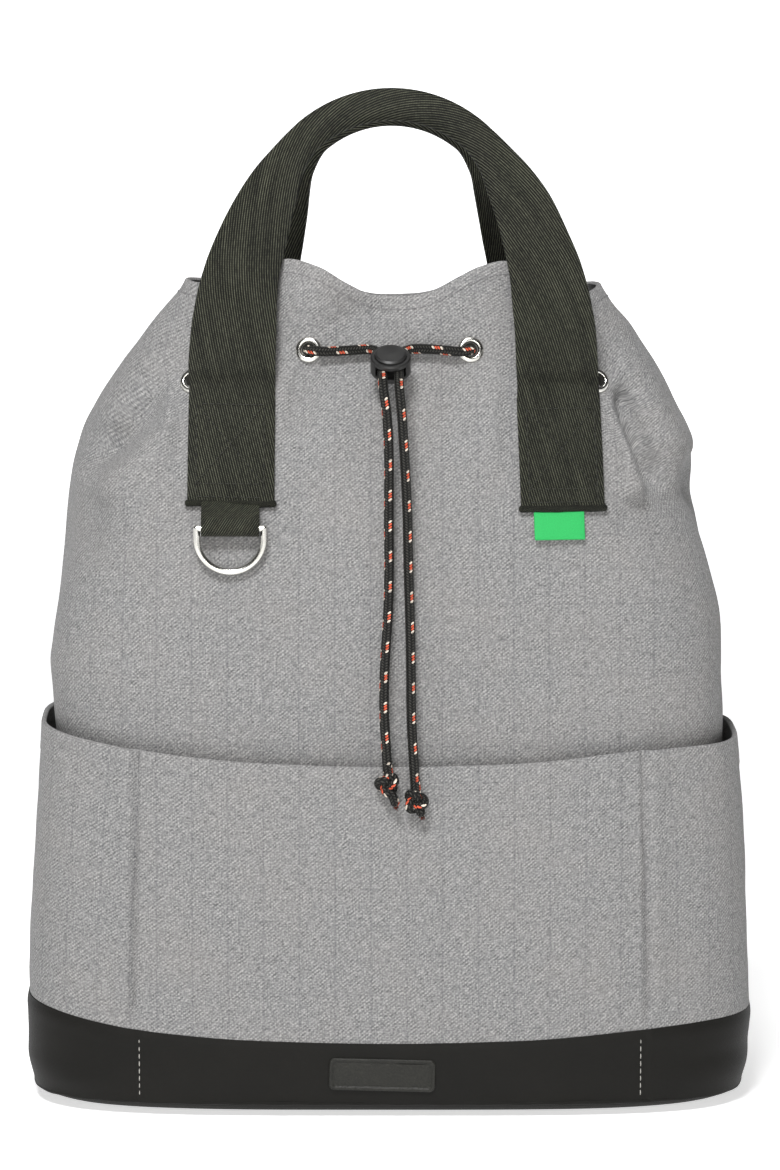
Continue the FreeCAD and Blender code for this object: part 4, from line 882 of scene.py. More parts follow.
def body_folds(X, Y, Z):
    """How far the cloth stands out from the plan, in millimetres: soft folds from the drawn neck and the hanging weight."""
    front = smoothstep(6, -18, Y)
    back = smoothstep(-6, 18, Y)
    d = np.zeros_like(X)
    f = np.zeros_like(X)
    # front, left of the middle
    f += seg_fold(X, Z, (-92, 334), (-131, 286), 11, 9, 3.0)
    f += seg_fold(X, Z, (-104, 327), (-141, 300), 8, 9, -3.2)
    f += seg_fold(X, Z, (-136, 282), (-150, 262), 10, 10, -1.6)
    f += seg_fold(X, Z, (-122, 306), (-146, 318), 9, 7, -1.2)
    f += spot(X, Z, (-15, 368), 15, 12, -2.6)
    f += spot(X, Z, (-38, 376), 13, 14, 1.5)
    f += seg_fold(X, Z, (-34, 345), (-52, 318), 9, 9, -1.5)
    f += seg_fold(X, Z, (-22, 340), (-30, 300), 10, 10, 1.0)
    f += spot(X, Z, (18, 366), 12, 12, 1.0)
    f += seg_fold(X, Z, (30, 344), (24, 312), 9, 9, -1.0)
    f += seg_fold(X, Z, (46, 340), (44, 300), 9, 9, 0.9)
    f += seg_fold(X, Z, (2, 338), (0, 296), 12, 12, -0.8)
    # front, right: a crisp tuck from the outer eyelet, its far side in shade
    f += seg_fold(X, Z, (97, 334), (117, 287), 5.0, 13, 3.4, 6)
    f += seg_fold(X, Z, (104, 334), (121, 290), 9, 4.4, -4.2, 7)
    f += seg_fold(X, Z, (112, 352), (134, 306), 9, 11, 1.6)
    f += seg_fold(X, Z, (141, 300), (146, 284), 6, 6, -2.0, 6)
    f += spot(X, Z, (130, 282), 20, 10, -1.0)
    # long, very soft waves of the hanging front
    f += 0.55 * np.sin(X / 19.0 + 0.6) * smoothstep(190, 240, Z) * smoothstep(330, 280, Z)
    f += 0.5 * np.sin(Z / 13.0 + X / 60.0) * smoothstep(60, 120, np.abs(X)) * smoothstep(175, 200, Z) * smoothstep(330, 290, Z)
    f += spot(X, Z, (-95, 215), 40, 22, -0.9) + spot(X, Z, (92, 212), 40, 20, -0.8)
    d += f * front * 2.6
    # back: the same gathers, drawn in by the cord between its eyelets
    g = np.zeros_like(X)
    g += seg_fold(X, Z, (-94, 334), (-128, 290), 9, 10, 2.6) + seg_fold(X, Z, (-108, 330), (-140, 300), 8, 8, -2.6)
    g += seg_fold(X, Z, (98, 334), (124, 290), 9, 10, 2.6) + seg_fold(X, Z, (110, 330), (138, 300), 8, 8, -2.6)
    g += spot(X, Z, (0, 368), 16, 12, -2.2) + seg_fold(X, Z, (-20, 340), (-26, 300), 9, 9, 1.2) + seg_fold(X, Z, (22, 340), (28, 296), 9, 9, 1.2)
    g += seg_fold(X, Z, (0, 336), (2, 290), 10, 10, -1.2)
    g += 0.6 * np.sin(X / 21.0 + 1.2) * smoothstep(120, 200, Z) * smoothstep(330, 280, Z)
    d += g * back * 1.9
    # the cloth lies flat under each sewn foot and round each eyelet
    calm = np.ones_like(X)
    for xs, half, z0, z1, where in ((-73.0, 23.0, 276.0, 352.0, front), (78.5, 23.0, 274.0, 352.0, front), (-67.5, 23.0, 276.0, 352.0, back), (71.5, 23.0, 276.0, 352.0, back)):
        calm = calm * (1 - smoothstep(half + 7.0, half, np.abs(X - xs)) * smoothstep(z0 - 12, z0, Z) * smoothstep(z1 + 10, z1, Z) * where)
    for xe, ze in ((-37.6, 353.5), (37.2, 353.5), (-91.5, 338.7), (96.0, 338.7)):
        calm = calm * (1 - np.exp(-(((X - xe) / 7.0) ** 2) - ((Z - ze) / 7.0) ** 2))
    d = d * calm
    # ears: the cloth folds in on itself at each side, above the held cord
    ear = smoothstep(70, 100, np.abs(X)) * smoothstep(40, 0, np.abs(Y)) * smoothstep(345, 380, Z)
    d += ear * (-1.2 * np.cos(Y / 6.0))
    side = smoothstep(100, 130, np.abs(X)) * smoothstep(60, 20, np.abs(Y))
    d += side * (1.1 * np.sin(Y / 9.0) * smoothstep(240, 330, Z) * smoothstep(392, 350, Z))
    # wear: small irregular dents everywhere
    d += 0.22 * np.sin(X / 7.3 + Z / 11.0) * np.sin(Z / 8.1 - Y / 9.0 + 1.0)
    return d


def skin_folds(X, Y, Z):
    front = smoothstep(6, -18, Y)
    d = np.zeros_like(X)
    for sx in (-118.0, 118.0):
        lean = sx + (4.0 if sx > 0 else -4.0) * (110 - Z) / 120.0 * 0.6
        d += -2.3 * np.exp(-(((X - lean) / 1.5) ** 2)) * smoothstep(10, 30, np.abs(Y))
        out = 1.0 if sx > 0 else -1.0
        d += 1.2 * np.exp(-(((X - lean - out * 5.0) / 4.0) ** 2)) * front
        d += -0.5 * np.exp(-(((X - lean + out * 6.0) / 5.0) ** 2)) * front
        d += 0.35 * np.sin(Z / 5.3 + sx) * np.exp(-(((X - lean) / 7.0) ** 2)) * front
    hem = smoothstep(-14.0, -12.4, Z - np.interp(X, *zip(*HEM_LINE)))
    d += 0.35 * hem
    d += spot(X, Z, (0, 100), 80, 55, 0.7) * front
    d += 0.45 * np.sin(X / 33.0 + 0.4) * np.sin(Z / 27.0) * front
    d += front * (seg_fold(X, Z, (-150, 172), (-128, 150), 9, 9, -1.0) + seg_fold(X, Z, (146, 168), (126, 148), 9, 9, -0.9) + seg_fold(X, Z, (-112, 60), (-60, 44), 9, 9, -0.5))
    d += 0.18 * np.sin(X / 6.1 + Z / 9.0) * np.sin(Z / 7.7 - Y / 8.0 + 2.0)
    d += 0.5 * np.sin(Y / 14.0 + 0.8) * smoothstep(130, 160, np.abs(X)) * smoothstep(60, 100, Z)
    return d * smoothstep(-1.0, 13.0, Z - pchip(*zip(*BAND_LINE), X))


def shell_grid(tab, T, Z, folds=None, off=0.0, wall=None):
    """Points for angles T (cols) and heights Z (rows x cols), pushed outwards by the folds and by off."""
    Tm = np.broadcast_to(T[None, :], Z.shape)
    X, Y = sup(tab, Tm, Z)
    dX, dY = np.gradient(X, axis=1), np.gradient(Y, axis=1)
    nx, ny = dY, -dX
    ln = np.hypot(nx, ny)
    ln[ln < 1e-9] = 1
    nx, ny = nx / ln, ny / ln
    flip = np.sign(nx * X + ny * Y)
    flip[flip == 0] = 1
    nx, ny = nx * flip, ny * flip
    d = np.zeros_like(X) + off
    if folds is not None:
        d = d + folds(X, Y, Z)
    return np.stack([X + nx * d, Y + ny * d, Z], 2), np.stack([nx, ny, np.zeros_like(nx)], 2)


def row_uv(P, zero_col):
    """U: metres along each row from one column. V: metres up."""
    seg = np.linalg.norm(np.diff(P[:, :, :2], axis=1), axis=2)
    s = np.concatenate([np.zeros((P.shape[0], 1)), np.cumsum(seg, axis=1)], axis=1)
    s = s - s[:, zero_col][:, None]
    up = np.concatenate([np.zeros((1, P.shape[1])), np.cumsum(np.linalg.norm(np.diff(P, axis=0), axis=2), axis=0)], axis=0)
    return np.stack([s * MM, (up + P[0, zero_col, 2]) * MM], 2)


def ring_shell(name, tab, low, high, rows, cols, folds, wall, mats, turn_in, low_turn=0.0, t_lo=-1.5 * pi, t_hi=0.5 * pi, closed=True, even_z=150.0, off=0.0, inner_mat=0):
    """A wall of cloth between two lines: outside, turned over the top edge and down inside as far as turn_in."""
    T = even_angles(tab, even_z, cols + 1, t_lo, t_hi)
    # the lines are read where each column stands near them
    def at_line(line, guess):
        z = np.full(len(T), float(guess))
        for _ in range(4):
            x, y = sup(tab, T, z)
            z = line(x, y)
        return z
    zl, zh = at_line(low, 30), at_line(high, 380)
    v = np.linspace(0, 1, rows)
    Z = zl[None, :] + (zh - zl)[None, :] * v[:, None]
    P, N = shell_grid(tab, T, Z, folds, off)
    # rounded fold over the top edge
    top, nt = P[-1], N[-1]
    r = wall / 2.0
    arc = []
    for a in np.linspace(0, pi, 7)[1:]:
        arc.append(top + nt * (-r + r * math.cos(a)) + np.array([0, 0, 1.0]) * (r * math.sin(a)))
    inside = []
    steps = max(3, int(turn_in / 3.0))
    for k in range(1, steps + 1):
        z = zh - turn_in * k / steps
        q, nq = shell_grid(tab, T, np.broadcast_to(z, (1, len(T))), folds, off - wall)
        inside.append(q[0])
    b = Build()
    mid = cols // 2
    full = np.concatenate([P, np.array(arc), np.array(inside)])
    UV = row_uv(full, mid)
    n_out = rows + len(arc)
    if closed:
        b.add(full[:n_out, :-1] * MM, UV[:n_out], wrap=True, mat=0)
        b.add(full[n_out - 1 :, :-1] * MM, UV[n_out - 1 :], wrap=True, mat=inner_mat)
    else:
        b.add(full[:n_out] * MM, UV[:n_out], mat=0)
        b.add(full[n_out - 1 :] * MM, UV[n_out - 1 :], mat=inner_mat)
        for col, fl in ((0, False), (-1, True)):
            outer = P[:, col]
            nn = N[:, col]
            edge = np.stack([outer, outer - nn * wall], 1)
            b.add(edge * MM, [[(0, j * 0.002), (0.002, j * 0.002)] for j in range(rows)], flip=fl, mat=0)
    return b.make(name, mats), T, zl, zh


def line_of(tab):
    xs, zs = zip(*tab)
    return lambda x, y: pchip(xs, zs, x)


def rim(x, y):
    f = pchip(*zip(*RIM_LINE), x)
    r = pchip(*zip(*REAR_RIM), x)
    return f + (r - f) * smoothstep(-14, 14, y)


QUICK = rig.quick()
body, T_body, _, z_rim = ring_shell(
    "body_shell", BODY, lambda x, y: np.full_like(x, 22.0), rim, 230 if not QUICK else 150, 560 if not QUICK else 380,
    body_folds, 2.6, [GREY], 58.0,
)
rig.replaces(body, "body_front_panel", "body_back_panel", "mouth_facing")
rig.slot(body, "heather_cloth")
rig.ride(body, "bag")

# lining: a lighter bag within, closed by its own floor
T = even_angles(BODY, 150, 241)
Z = np.linspace(11.6, 330, 90)[:, None] * np.ones((1, len(T)))
P, N = shell_grid(BODY, T, Z, lambda X, Y, Z: body_folds(X, Y, Z) + 0.8 * np.sin(X / 9.0 + Z / 21.0) * smoothstep(20, 60, Z), -4.4)
P[:, -1] = P[:, 0]
b = Build()
b.add(P[:, :-1] * MM, row_uv(P, 120), wrap=True, flip=True)
floor_rows = []
for k in np.linspace(1, 0.02, 14):
    q = P[0].copy()
    q[:, 0] *= k
    q[:, 1] *= k
    q[:, 2] = 11.6 + 0.5 * np.sin(q[:, 0] / 17.0) * np.sin(q[:, 1] / 13.0) * (1 - k)
    floor_rows.append(q)
F = np.array(floor_rows)
b.add(F[:, :-1] * MM, [[(F[j, min(i, 240), 0] * MM, F[j, min(i, 240), 1] * MM) for i in range(242)] for j in range(len(F))], wrap=True, flip=False)
lining = b.make("lining_bag", [LINING])
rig.replaces(lining, "lining")
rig.slot(lining, "lining")
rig.ride(lining, "bag")

# pockets: one at the front and one round each end, open at the top
band_top = line_of(BAND_LINE)
hem = line_of(HEM_LINE)


def angle_at(tab, z, x, side, lo, hi):
    t = np.linspace(lo, hi, 4001)
    X, Y = sup(tab, t, np.full_like(t, z))
    ok = np.sign(Y) == side
    i = np.argmin(np.where(ok, np.abs(X - x), 1e9))
    return t[i]


TF_L = angle_at(SKIN, 110, -118, -1, -pi, -0.5 * pi)
TF_R = angle_at(SKIN, 110, 118, -1, -0.5 * pi, 0)
TB_L = angle_at(SKIN, 110, -118, 1, -1.5 * pi, -pi)
TB_R = angle_at(SKIN, 110, 118, 1, 0, 0.5 * pi)
for name, node, t0, t1, cols in (
    ("front_pocket", "pocket_front", TF_L, TF_R, 220),
    ("left_pocket", "pocket_side_left", TB_L, TF_L, 200),
    ("right_pocket", "pocket_side_right", TF_R, TB_R, 200),
):
    ob, _, _, _ = ring_shell(
        name, SKIN, lambda x, y: band_top(x, y) - 4.0, hem, 120 if not QUICK else 80, cols if not QUICK else cols // 2,
        skin_folds, 2.4, [GREY], 40.0, t_lo=t0, t_hi=t1, closed=False, even_z=110.0,
    )
    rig.replaces(ob, node)
    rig.slot(ob, "heather_cloth")
    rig.ride(ob, "bag")


# ------------------------------------------------------------------ base: dark cloth band, its turned bottom and the patch
def band_folds(X, Y, Z):
    d = 0.30 * np.sin(X / 23.0 + 1.0) * np.sin(Z / 11.0) + 0.22 * np.sin(X / 8.7 + Z / 9.0) * np.sin(Z / 6.0 - X / 15.0)
    for sx in (-118.0, 118.0):
        d += -0.45 * np.exp(-(((X - sx) / 1.0) ** 2)) * smoothstep(0, 5, pchip(*zip(*BAND_LINE), X) - Z) + 0.35 * np.exp(-(((X - sx - 3.2) / 2.2) ** 2))
    top = pchip(*zip(*BAND_LINE), X)
    d += -0.35 * np.exp(-(((Z - top) / 1.6) ** 2)) + 0.3 * np.exp(-(((Z - top + 4.5) / 3.0) ** 2))
    corner = smoothstep(120, 165, X) * smoothstep(0, -50, Y)
    d += corner * (0.9 * np.exp(-(((Z - 16) / 6.0) ** 2)) - 0.8 * np.exp(-(((Z - 27) / 5.0) ** 2)))
    d += 0.8 * np.exp(-(((X + 146) / 12.0) ** 2) - ((Z - 14) / 5.0) ** 2) * smoothstep(0, -30, Y)
    return d


band, _, _, _ = ring_shell(
    "base_band", SKIN, lambda x, y: np.full_like(x, 6.4), band_top, 64, 640 if not QUICK else 360, band_folds, 1.0, [BASE], 3.0, even_z=40.0, off=0.9,
)
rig.replaces(band, "base_band_front", "base_band_back", "base_band_left", "base_band_right")
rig.slot(band, "base_cloth")
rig.ride(band, "bag")

# the bottom: a shallow tray with a corded seam at its edge, flat where it stands
T = even_angles(TRAY, 6, 481)
rows, uvr = [], []
Zt = [8.2, 7.2, 6.2, 5.2, 4.2, 3.2, 2.4, 1.6, 1.0, 0.5, 0.15, 0.0]
for z in Zt:
    q, nq = shell_grid(TRAY, T, np.full((1, len(T)), z), lambda X, Y, Z: 0.25 * np.sin(X / 12.0) * np.sin(Y / 10.0 + 1.0), 0.2)
    rows.append(q[0])
for k in np.linspace(0.93, 0.01, 10):
    q = rows[11] * np.array([k, k, 0.0]) + np.array([0, 0, 0.0])
    q[:, 2] = 0.35 * (1 - k) * 0.5
    rows.append(q)
rows = np.array(rows)
b = Build()
b.add(rows[:, :-1] * MM, row_uv(rows, 240), wrap=True, flip=True)
tray = b.make("base_tray", [BASE])
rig.replaces(tray, "base_bottom")
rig.slot(tray, "base_cloth")
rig.ride(tray, "bag")
# piping round the bottom seam
q, _ = shell_grid(TRAY, even_angles(TRAY, 6, 421), np.full((1, 421), 6.6), None, 0.9)
ring = q[0][:-1]
b = Build()
loop = np.concatenate([ring, ring[:2]]) * MM
loop[:, 2] += 0.00012 * np.sin(np.arange(len(loop)) * 0.7)
tube_build(b, loop, 0.00115, 10, caps=False)
pipe = b.make("bottom_piping", [BASE])
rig.slot(pipe, "base_cloth")
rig.ride(pipe, "bag")

# board inside, under the lining's floor
board = frame["nodes"]["base_board"]
board.data.materials.clear()
board.data.materials.append(BASE)


def rounded(w, h, r, n=10):
    pts = []
    for cx, cy, a0 in ((w - r, h - r, 0), (-w + r, h - r, pi / 2), (-w + r, -h + r, pi), (w - r, -h + r, 1.5 * pi)):
        for k in range(n + 1):
            a = a0 + k * pi / 2 / n
            pts.append((cx + r * math.cos(a), cy + r * math.sin(a)))
    return np.array(pts)


def plate(name, centre, rings, mats, tilt, rot, body_name, replaced, slot_name, mat_rows=None):
    """Nested rounded outlines: (half width, half height, corner radius, outwards)."""
    b = Build()
    R = []
    for w, h, r, o in rings:
        q = rounded(w, h, min(r, h - 0.01))
        R.append(np.stack([q[:, 0], np.full(len(q), -o), q[:, 1]], 1))
    R = np.array(R)
    M = Matrix.Rotation(math.radians(rot), 3, "Z") @ Matrix.Rotation(math.radians(tilt), 3, "X")
    UV = [[(p[0] * MM, p[2] * MM) for p in np.concatenate([row, row[:1]])] for row in R]
    W = R @ np.array(M).T + np.array(centre)
    b.add(W * MM, UV, wrap=True, flip=False)
    # close the middle
    base = len(b.v) - R.shape[1]
    n = R.shape[1]
    b.f.append(tuple(range(base, base + n)))
    b.m.append(0)
    b.uv.extend([(p[0] * MM, p[2] * MM) for p in R[-1]])
    ob = b.make(name, mats)
    if replaced:
        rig.replaces(ob, replaced)
    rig.slot(ob, slot_name)
    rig.ride(ob, body_name)
    return ob


lo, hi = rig.box("base_patch")
pc = (lo + hi) / 2 / MM
patch_y = hi.y / MM
patch = plate(
    "base_patch_plate", (pc[0], patch_y - 0.1, pc[2]),
    [(24.5, 7.5, 2.6, -0.4), (24.6, 7.6, 2.7, 0.5), (24.45, 7.45, 2.6, 1.15), (24.1, 7.1, 2.5, 1.45), (23.6, 6.6, 2.2, 1.5), (23.1, 6.1, 2.0, 1.35), (22.7, 5.7, 1.8, 0.85),
     (22.3, 5.3, 1.7, 0.75), (21.9, 4.9, 1.6, 0.95), (20.5, 4.2, 1.5, 1.0), (14.0, 2.6, 1.3, 1.08), (6.0, 0.9, 0.6, 1.1)],
    [LEATHER], 0.0, 0.0, "bag", "base_patch", "patch_leather",
)
patch.data.transform(Matrix.Translation(Vector(pc) * MM) @ Matrix.Rotation(math.radians(1.4), 4, "Y") @ Matrix.Translation(-Vector(pc) * MM))

# green tab, left bare: a folded woven ribbon caught under the webbing
lx, lz = 77.8, 273.6
ly = float(body_y(np.array([lx]), np.array([lz]), -1)[0])
slope = math.degrees(math.atan2(float(body_y(np.array([lx]), np.array([lz + 6.0]), -1)[0] - body_y(np.array([lx]), np.array([lz - 6.0]), -1)[0]), 12.0))
yaw = math.degrees(math.atan2(float(body_y(np.array([lx + 8.0]), np.array([lz]), -1)[0] - body_y(np.array([lx - 8.0]), np.array([lz]), -1)[0]), 16.0))
label = plate(
    "green_tab", (lx, ly - 0.75, lz),
    [(11.75, 6.5, 0.5, 0.0), (11.8, 6.55, 0.5, 0.35), (11.7, 6.4, 0.5, 0.85), (11.2, 5.9, 0.4, 1.0), (8.0, 4.0, 0.3, 1.05), (3.0, 1.2, 0.2, 1.1)],
    [GREEN], -slope, yaw, "bag", "side_label", "label_green",
)


# ------------------------------------------------------------------ eyelets
EYES = [(-37.6, 353.5), (37.2, 353.5), (-66.0, 347.0), (68.0, 347.0), (-91.5, 338.7), (96.0, 338.7)]


def ring_profile(prof, centre, normal, sides=40, b=None, up=(0, 0, 1)):
    n = np.array(normal, float)
    n /= np.linalg.norm(n)
    a = np.cross(np.array(up, float), n)
    a /= np.linalg.norm(a)
    c = np.cross(n, a)
    ang = np.linspace(0, 2 * pi, sides, endpoint=False)
    rows = []
    for r, h in prof:
        rows.append(np.array(centre) + n * h + r * (np.cos(ang)[:, None] * a + np.sin(ang)[:, None] * c))
    b.add(np.array(rows) * MM, [[(i / sides, j * 0.001) for i in range(sides + 1)] for j in range(len(rows))], wrap=True, flip=False)


b = Build()
bw = Build()
eye_prof = [(3.35, -3.6), (3.3, -2.0), (3.3, -0.2), (3.4, 0.6), (3.75, 1.1), (4.2, 1.35), (4.7, 1.35), (5.2, 1.15), (5.7, 0.8), (6.05, 0.4), (6.15, 0.0), (6.1, -0.4)]
wash_prof = [(3.15, 0.0), (3.3, 0.5), (3.8, 0.75), (4.6, 0.7), (5.2, 0.4), (5.45, 0.0)]
for side in (-1, 1):
    for x, z in EYES:
        y = float(body_y(np.array([x]), np.array([z]), side)[0])
        gx = float(body_y(np.array([x + 2.0]), np.array([z]), side)[0] - body_y(np.array([x - 2.0]), np.array([z]), side)[0]) / 4.0
        gz = float(body_y(np.array([x]), np.array([z + 2.0]), side)[0] - body_y(np.array([x]), np.array([z - 2.0]), side)[0]) / 4.0
        n = np.array([-gx, 1.0, -gz]) * side
        n /= np.linalg.norm(n)
        ring_profile(eye_prof, (x, y, z), n, 44, b)
        ring_profile(wash_prof, np.array((x, y, z)) - n * 2.9, -n, 44, bw)
eyes = b.make("eyelet_rings", [NICKEL])
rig.replaces(eyes, "eyelets")
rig.slot(eyes, "nickel")
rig.ride(eyes, "bag")
washers = bw.make("eyelet_backs", [NICKEL])
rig.replaces(washers, "eyelet_washers")
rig.slot(washers, "nickel")
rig.ride(washers, "bag")
# holes: dark discs just inside each eyelet's barrel, a painted shadow standing in for the shade within each hole
b = Build()
for side in (-1, 1):
    for x, z in EYES:
        y = float(body_y(np.array([x]), np.array([z]), side)[0])
        n = np.array([0, 1.0, 0.3]) * side
        ring_profile([(3.1, 0.25), (1.6, 0.22), (0.05, 0.2)], (x, y, z), np.array([0, side, 0.12]), 28, b)
eyelet_hole_shadow = b.make("eyelet_shadow", [LEATHER])
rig.ride(eyelet_hole_shadow, "bag")


# ------------------------------------------------------------------ held stretch of the drawcord
def face_normal(x, z, side):
    gx = float(body_y(np.array([x + 1.5]), np.array([z]), side)[0] - body_y(np.array([x - 1.5]), np.array([z]), side)[0]) / 3.0
    gz = float(body_y(np.array([x]), np.array([z + 1.5]), side)[0] - body_y(np.array([x]), np.array([z - 1.5]), side)[0]) / 3.0
    n = np.array([-gx, 1.0, -gz]) * side
    return n / np.linalg.norm(n)


def at(x, z, side, off):
    y = float(body_y(np.array([x]), np.array([z]), side)[0])
    p = np.array([x, y, z]) + face_normal(x, z, side) * off
    return tuple(p * MM)


IN, OUT = -6.4, 3.1
held = [at(x, z, -1, o) for x, z, o in ((-37.9, 353.5, -0.6), (-42.0, 352.6, -5.6), (-52.0, 350.2, IN), (-61.0, 348.2, -5.0), (-70.5, 345.6, 2.7), (-78.5, 343.0, OUT), (-87.0, 340.2, 2.7), (-95.0, 337.6, -4.6))]
held += [tuple(c * MM for c in p) for p in ((-105.0, -24.0, 337.0), (-113.5, -8.0, 336.6), (-113.5, 8.0, 336.6), (-105.0, 24.0, 337.0))]
held += [at(x, z, 1, o) for x, z, o in ((-95.0, 337.6, -4.6), (-87.0, 340.2, 2.7), (-78.5, 343.0, OUT), (-70.5, 345.6, 2.7), (-61.0, 348.2, -5.0), (-52.0, 350.2, IN), (-42.0, 352.6, -4.6), (-33.5, 353.8, 2.7),
         (-18.0, 353.2, OUT), (0.0, 352.6, OUT), (18.0, 353.2, OUT), (33.2, 353.8, 2.7), (41.6, 352.6, -4.6), (52.5, 350.2, IN), (63.0, 348.2, -5.0), (72.5, 345.6, 2.7), (82.0, 343.0, OUT), (91.5, 340.2, 2.7), (99.5, 337.6, -4.6))]
held += [tuple(c * MM for c in p) for p in ((106.5, 23.0, 337.0), (113.0, 8.0, 336.6), (113.0, -8.0, 336.6), (106.5, -23.0, 337.0))]
held += [at(x, z, -1, o) for x, z, o in ((99.5, 337.6, -4.6), (91.5, 340.2, 2.7), (82.0, 343.0, OUT), (72.5, 345.6, 2.7), (63.0, 348.2, -5.0), (52.5, 350.2, IN), (41.6, 352.6, -5.6), (37.5, 353.5, -0.6))]
b = Build()
tube_build(b, curve_points(held, 10), CORD_D / 2, 20)
held_ob = b.make("cord_in_channel", [BRAID])
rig.replaces(held_ob, "drawcord_held")
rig.slot(held_ob, "cord")
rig.ride(held_ob, "bag")


# ------------------------------------------------------------------ handles: one folded strap each
STAND = [(-60, 2.6), (0, 2.9), (10, 5.4), (25, 5.6), (41, 1.6), (55, -3.6), (69, -10.5), (83, -17.5), (96, -23.6), (107, -27.6), (114, -30.4), (132, -35.6), (140, -37.6)]
LEGS = {
    "front": ([(335, -73, 38, 0), (345, -73, 38.4, 0), (360, -72.2, 38, -2), (376, -70.8, 36.5, -5), (390, -68.2, 34.5, -11), (404, -63.8, 32, -17), (418, -58.6, 28, -23), (431, -52.8, 23, -30), (441.5, -46.8, 17.8, -38)],
              [(335, 77.8, 38, 0), (345, 77.2, 38, 0), (360, 76.4, 37.6, 2), (376, 74.4, 36.2, 5), (390, 71.8, 33.5, 11), (404, 67.4, 30.5, 17), (418, 62.2, 27.5, 23), (431, 55.4, 23, 30), (441.5, 48.6, 17.8, 38)]),
    "rear": ([(335, -67.5, 38, 0), (345, -66.6, 38, 0), (360, -65, 38, -2), (376, -63, 36.5, -5), (390, -61, 35, -9), (404, -57.6, 33, -14), (418, -53.2, 29, -20), (430, -48.4, 23, -28), (439.5, -43.2, 17.4, -38)],
             [(335, 71.5, 38, 0), (345, 70.4, 38, 0), (360, 68.8, 38, 2), (376, 66.6, 36.5, 5), (390, 64.2, 34.5, 9), (404, 60.4, 32.5, 14), (418, 55.6, 28.5, 20), (430, 50.2, 23, 28), (439.5, 44.8, 17.4, 38)]),
}
CROWN = {"front": (0.6, 474.0, 59.2), "rear": (0.8, 471.6, 55.5)}
FEET = {"front": ((-73.2, 283.0, -73.0), (79.6, 280.6, 77.8)), "rear": ((-67.5, 283.0, -67.5), (71.5, 283.0, 71.5))}


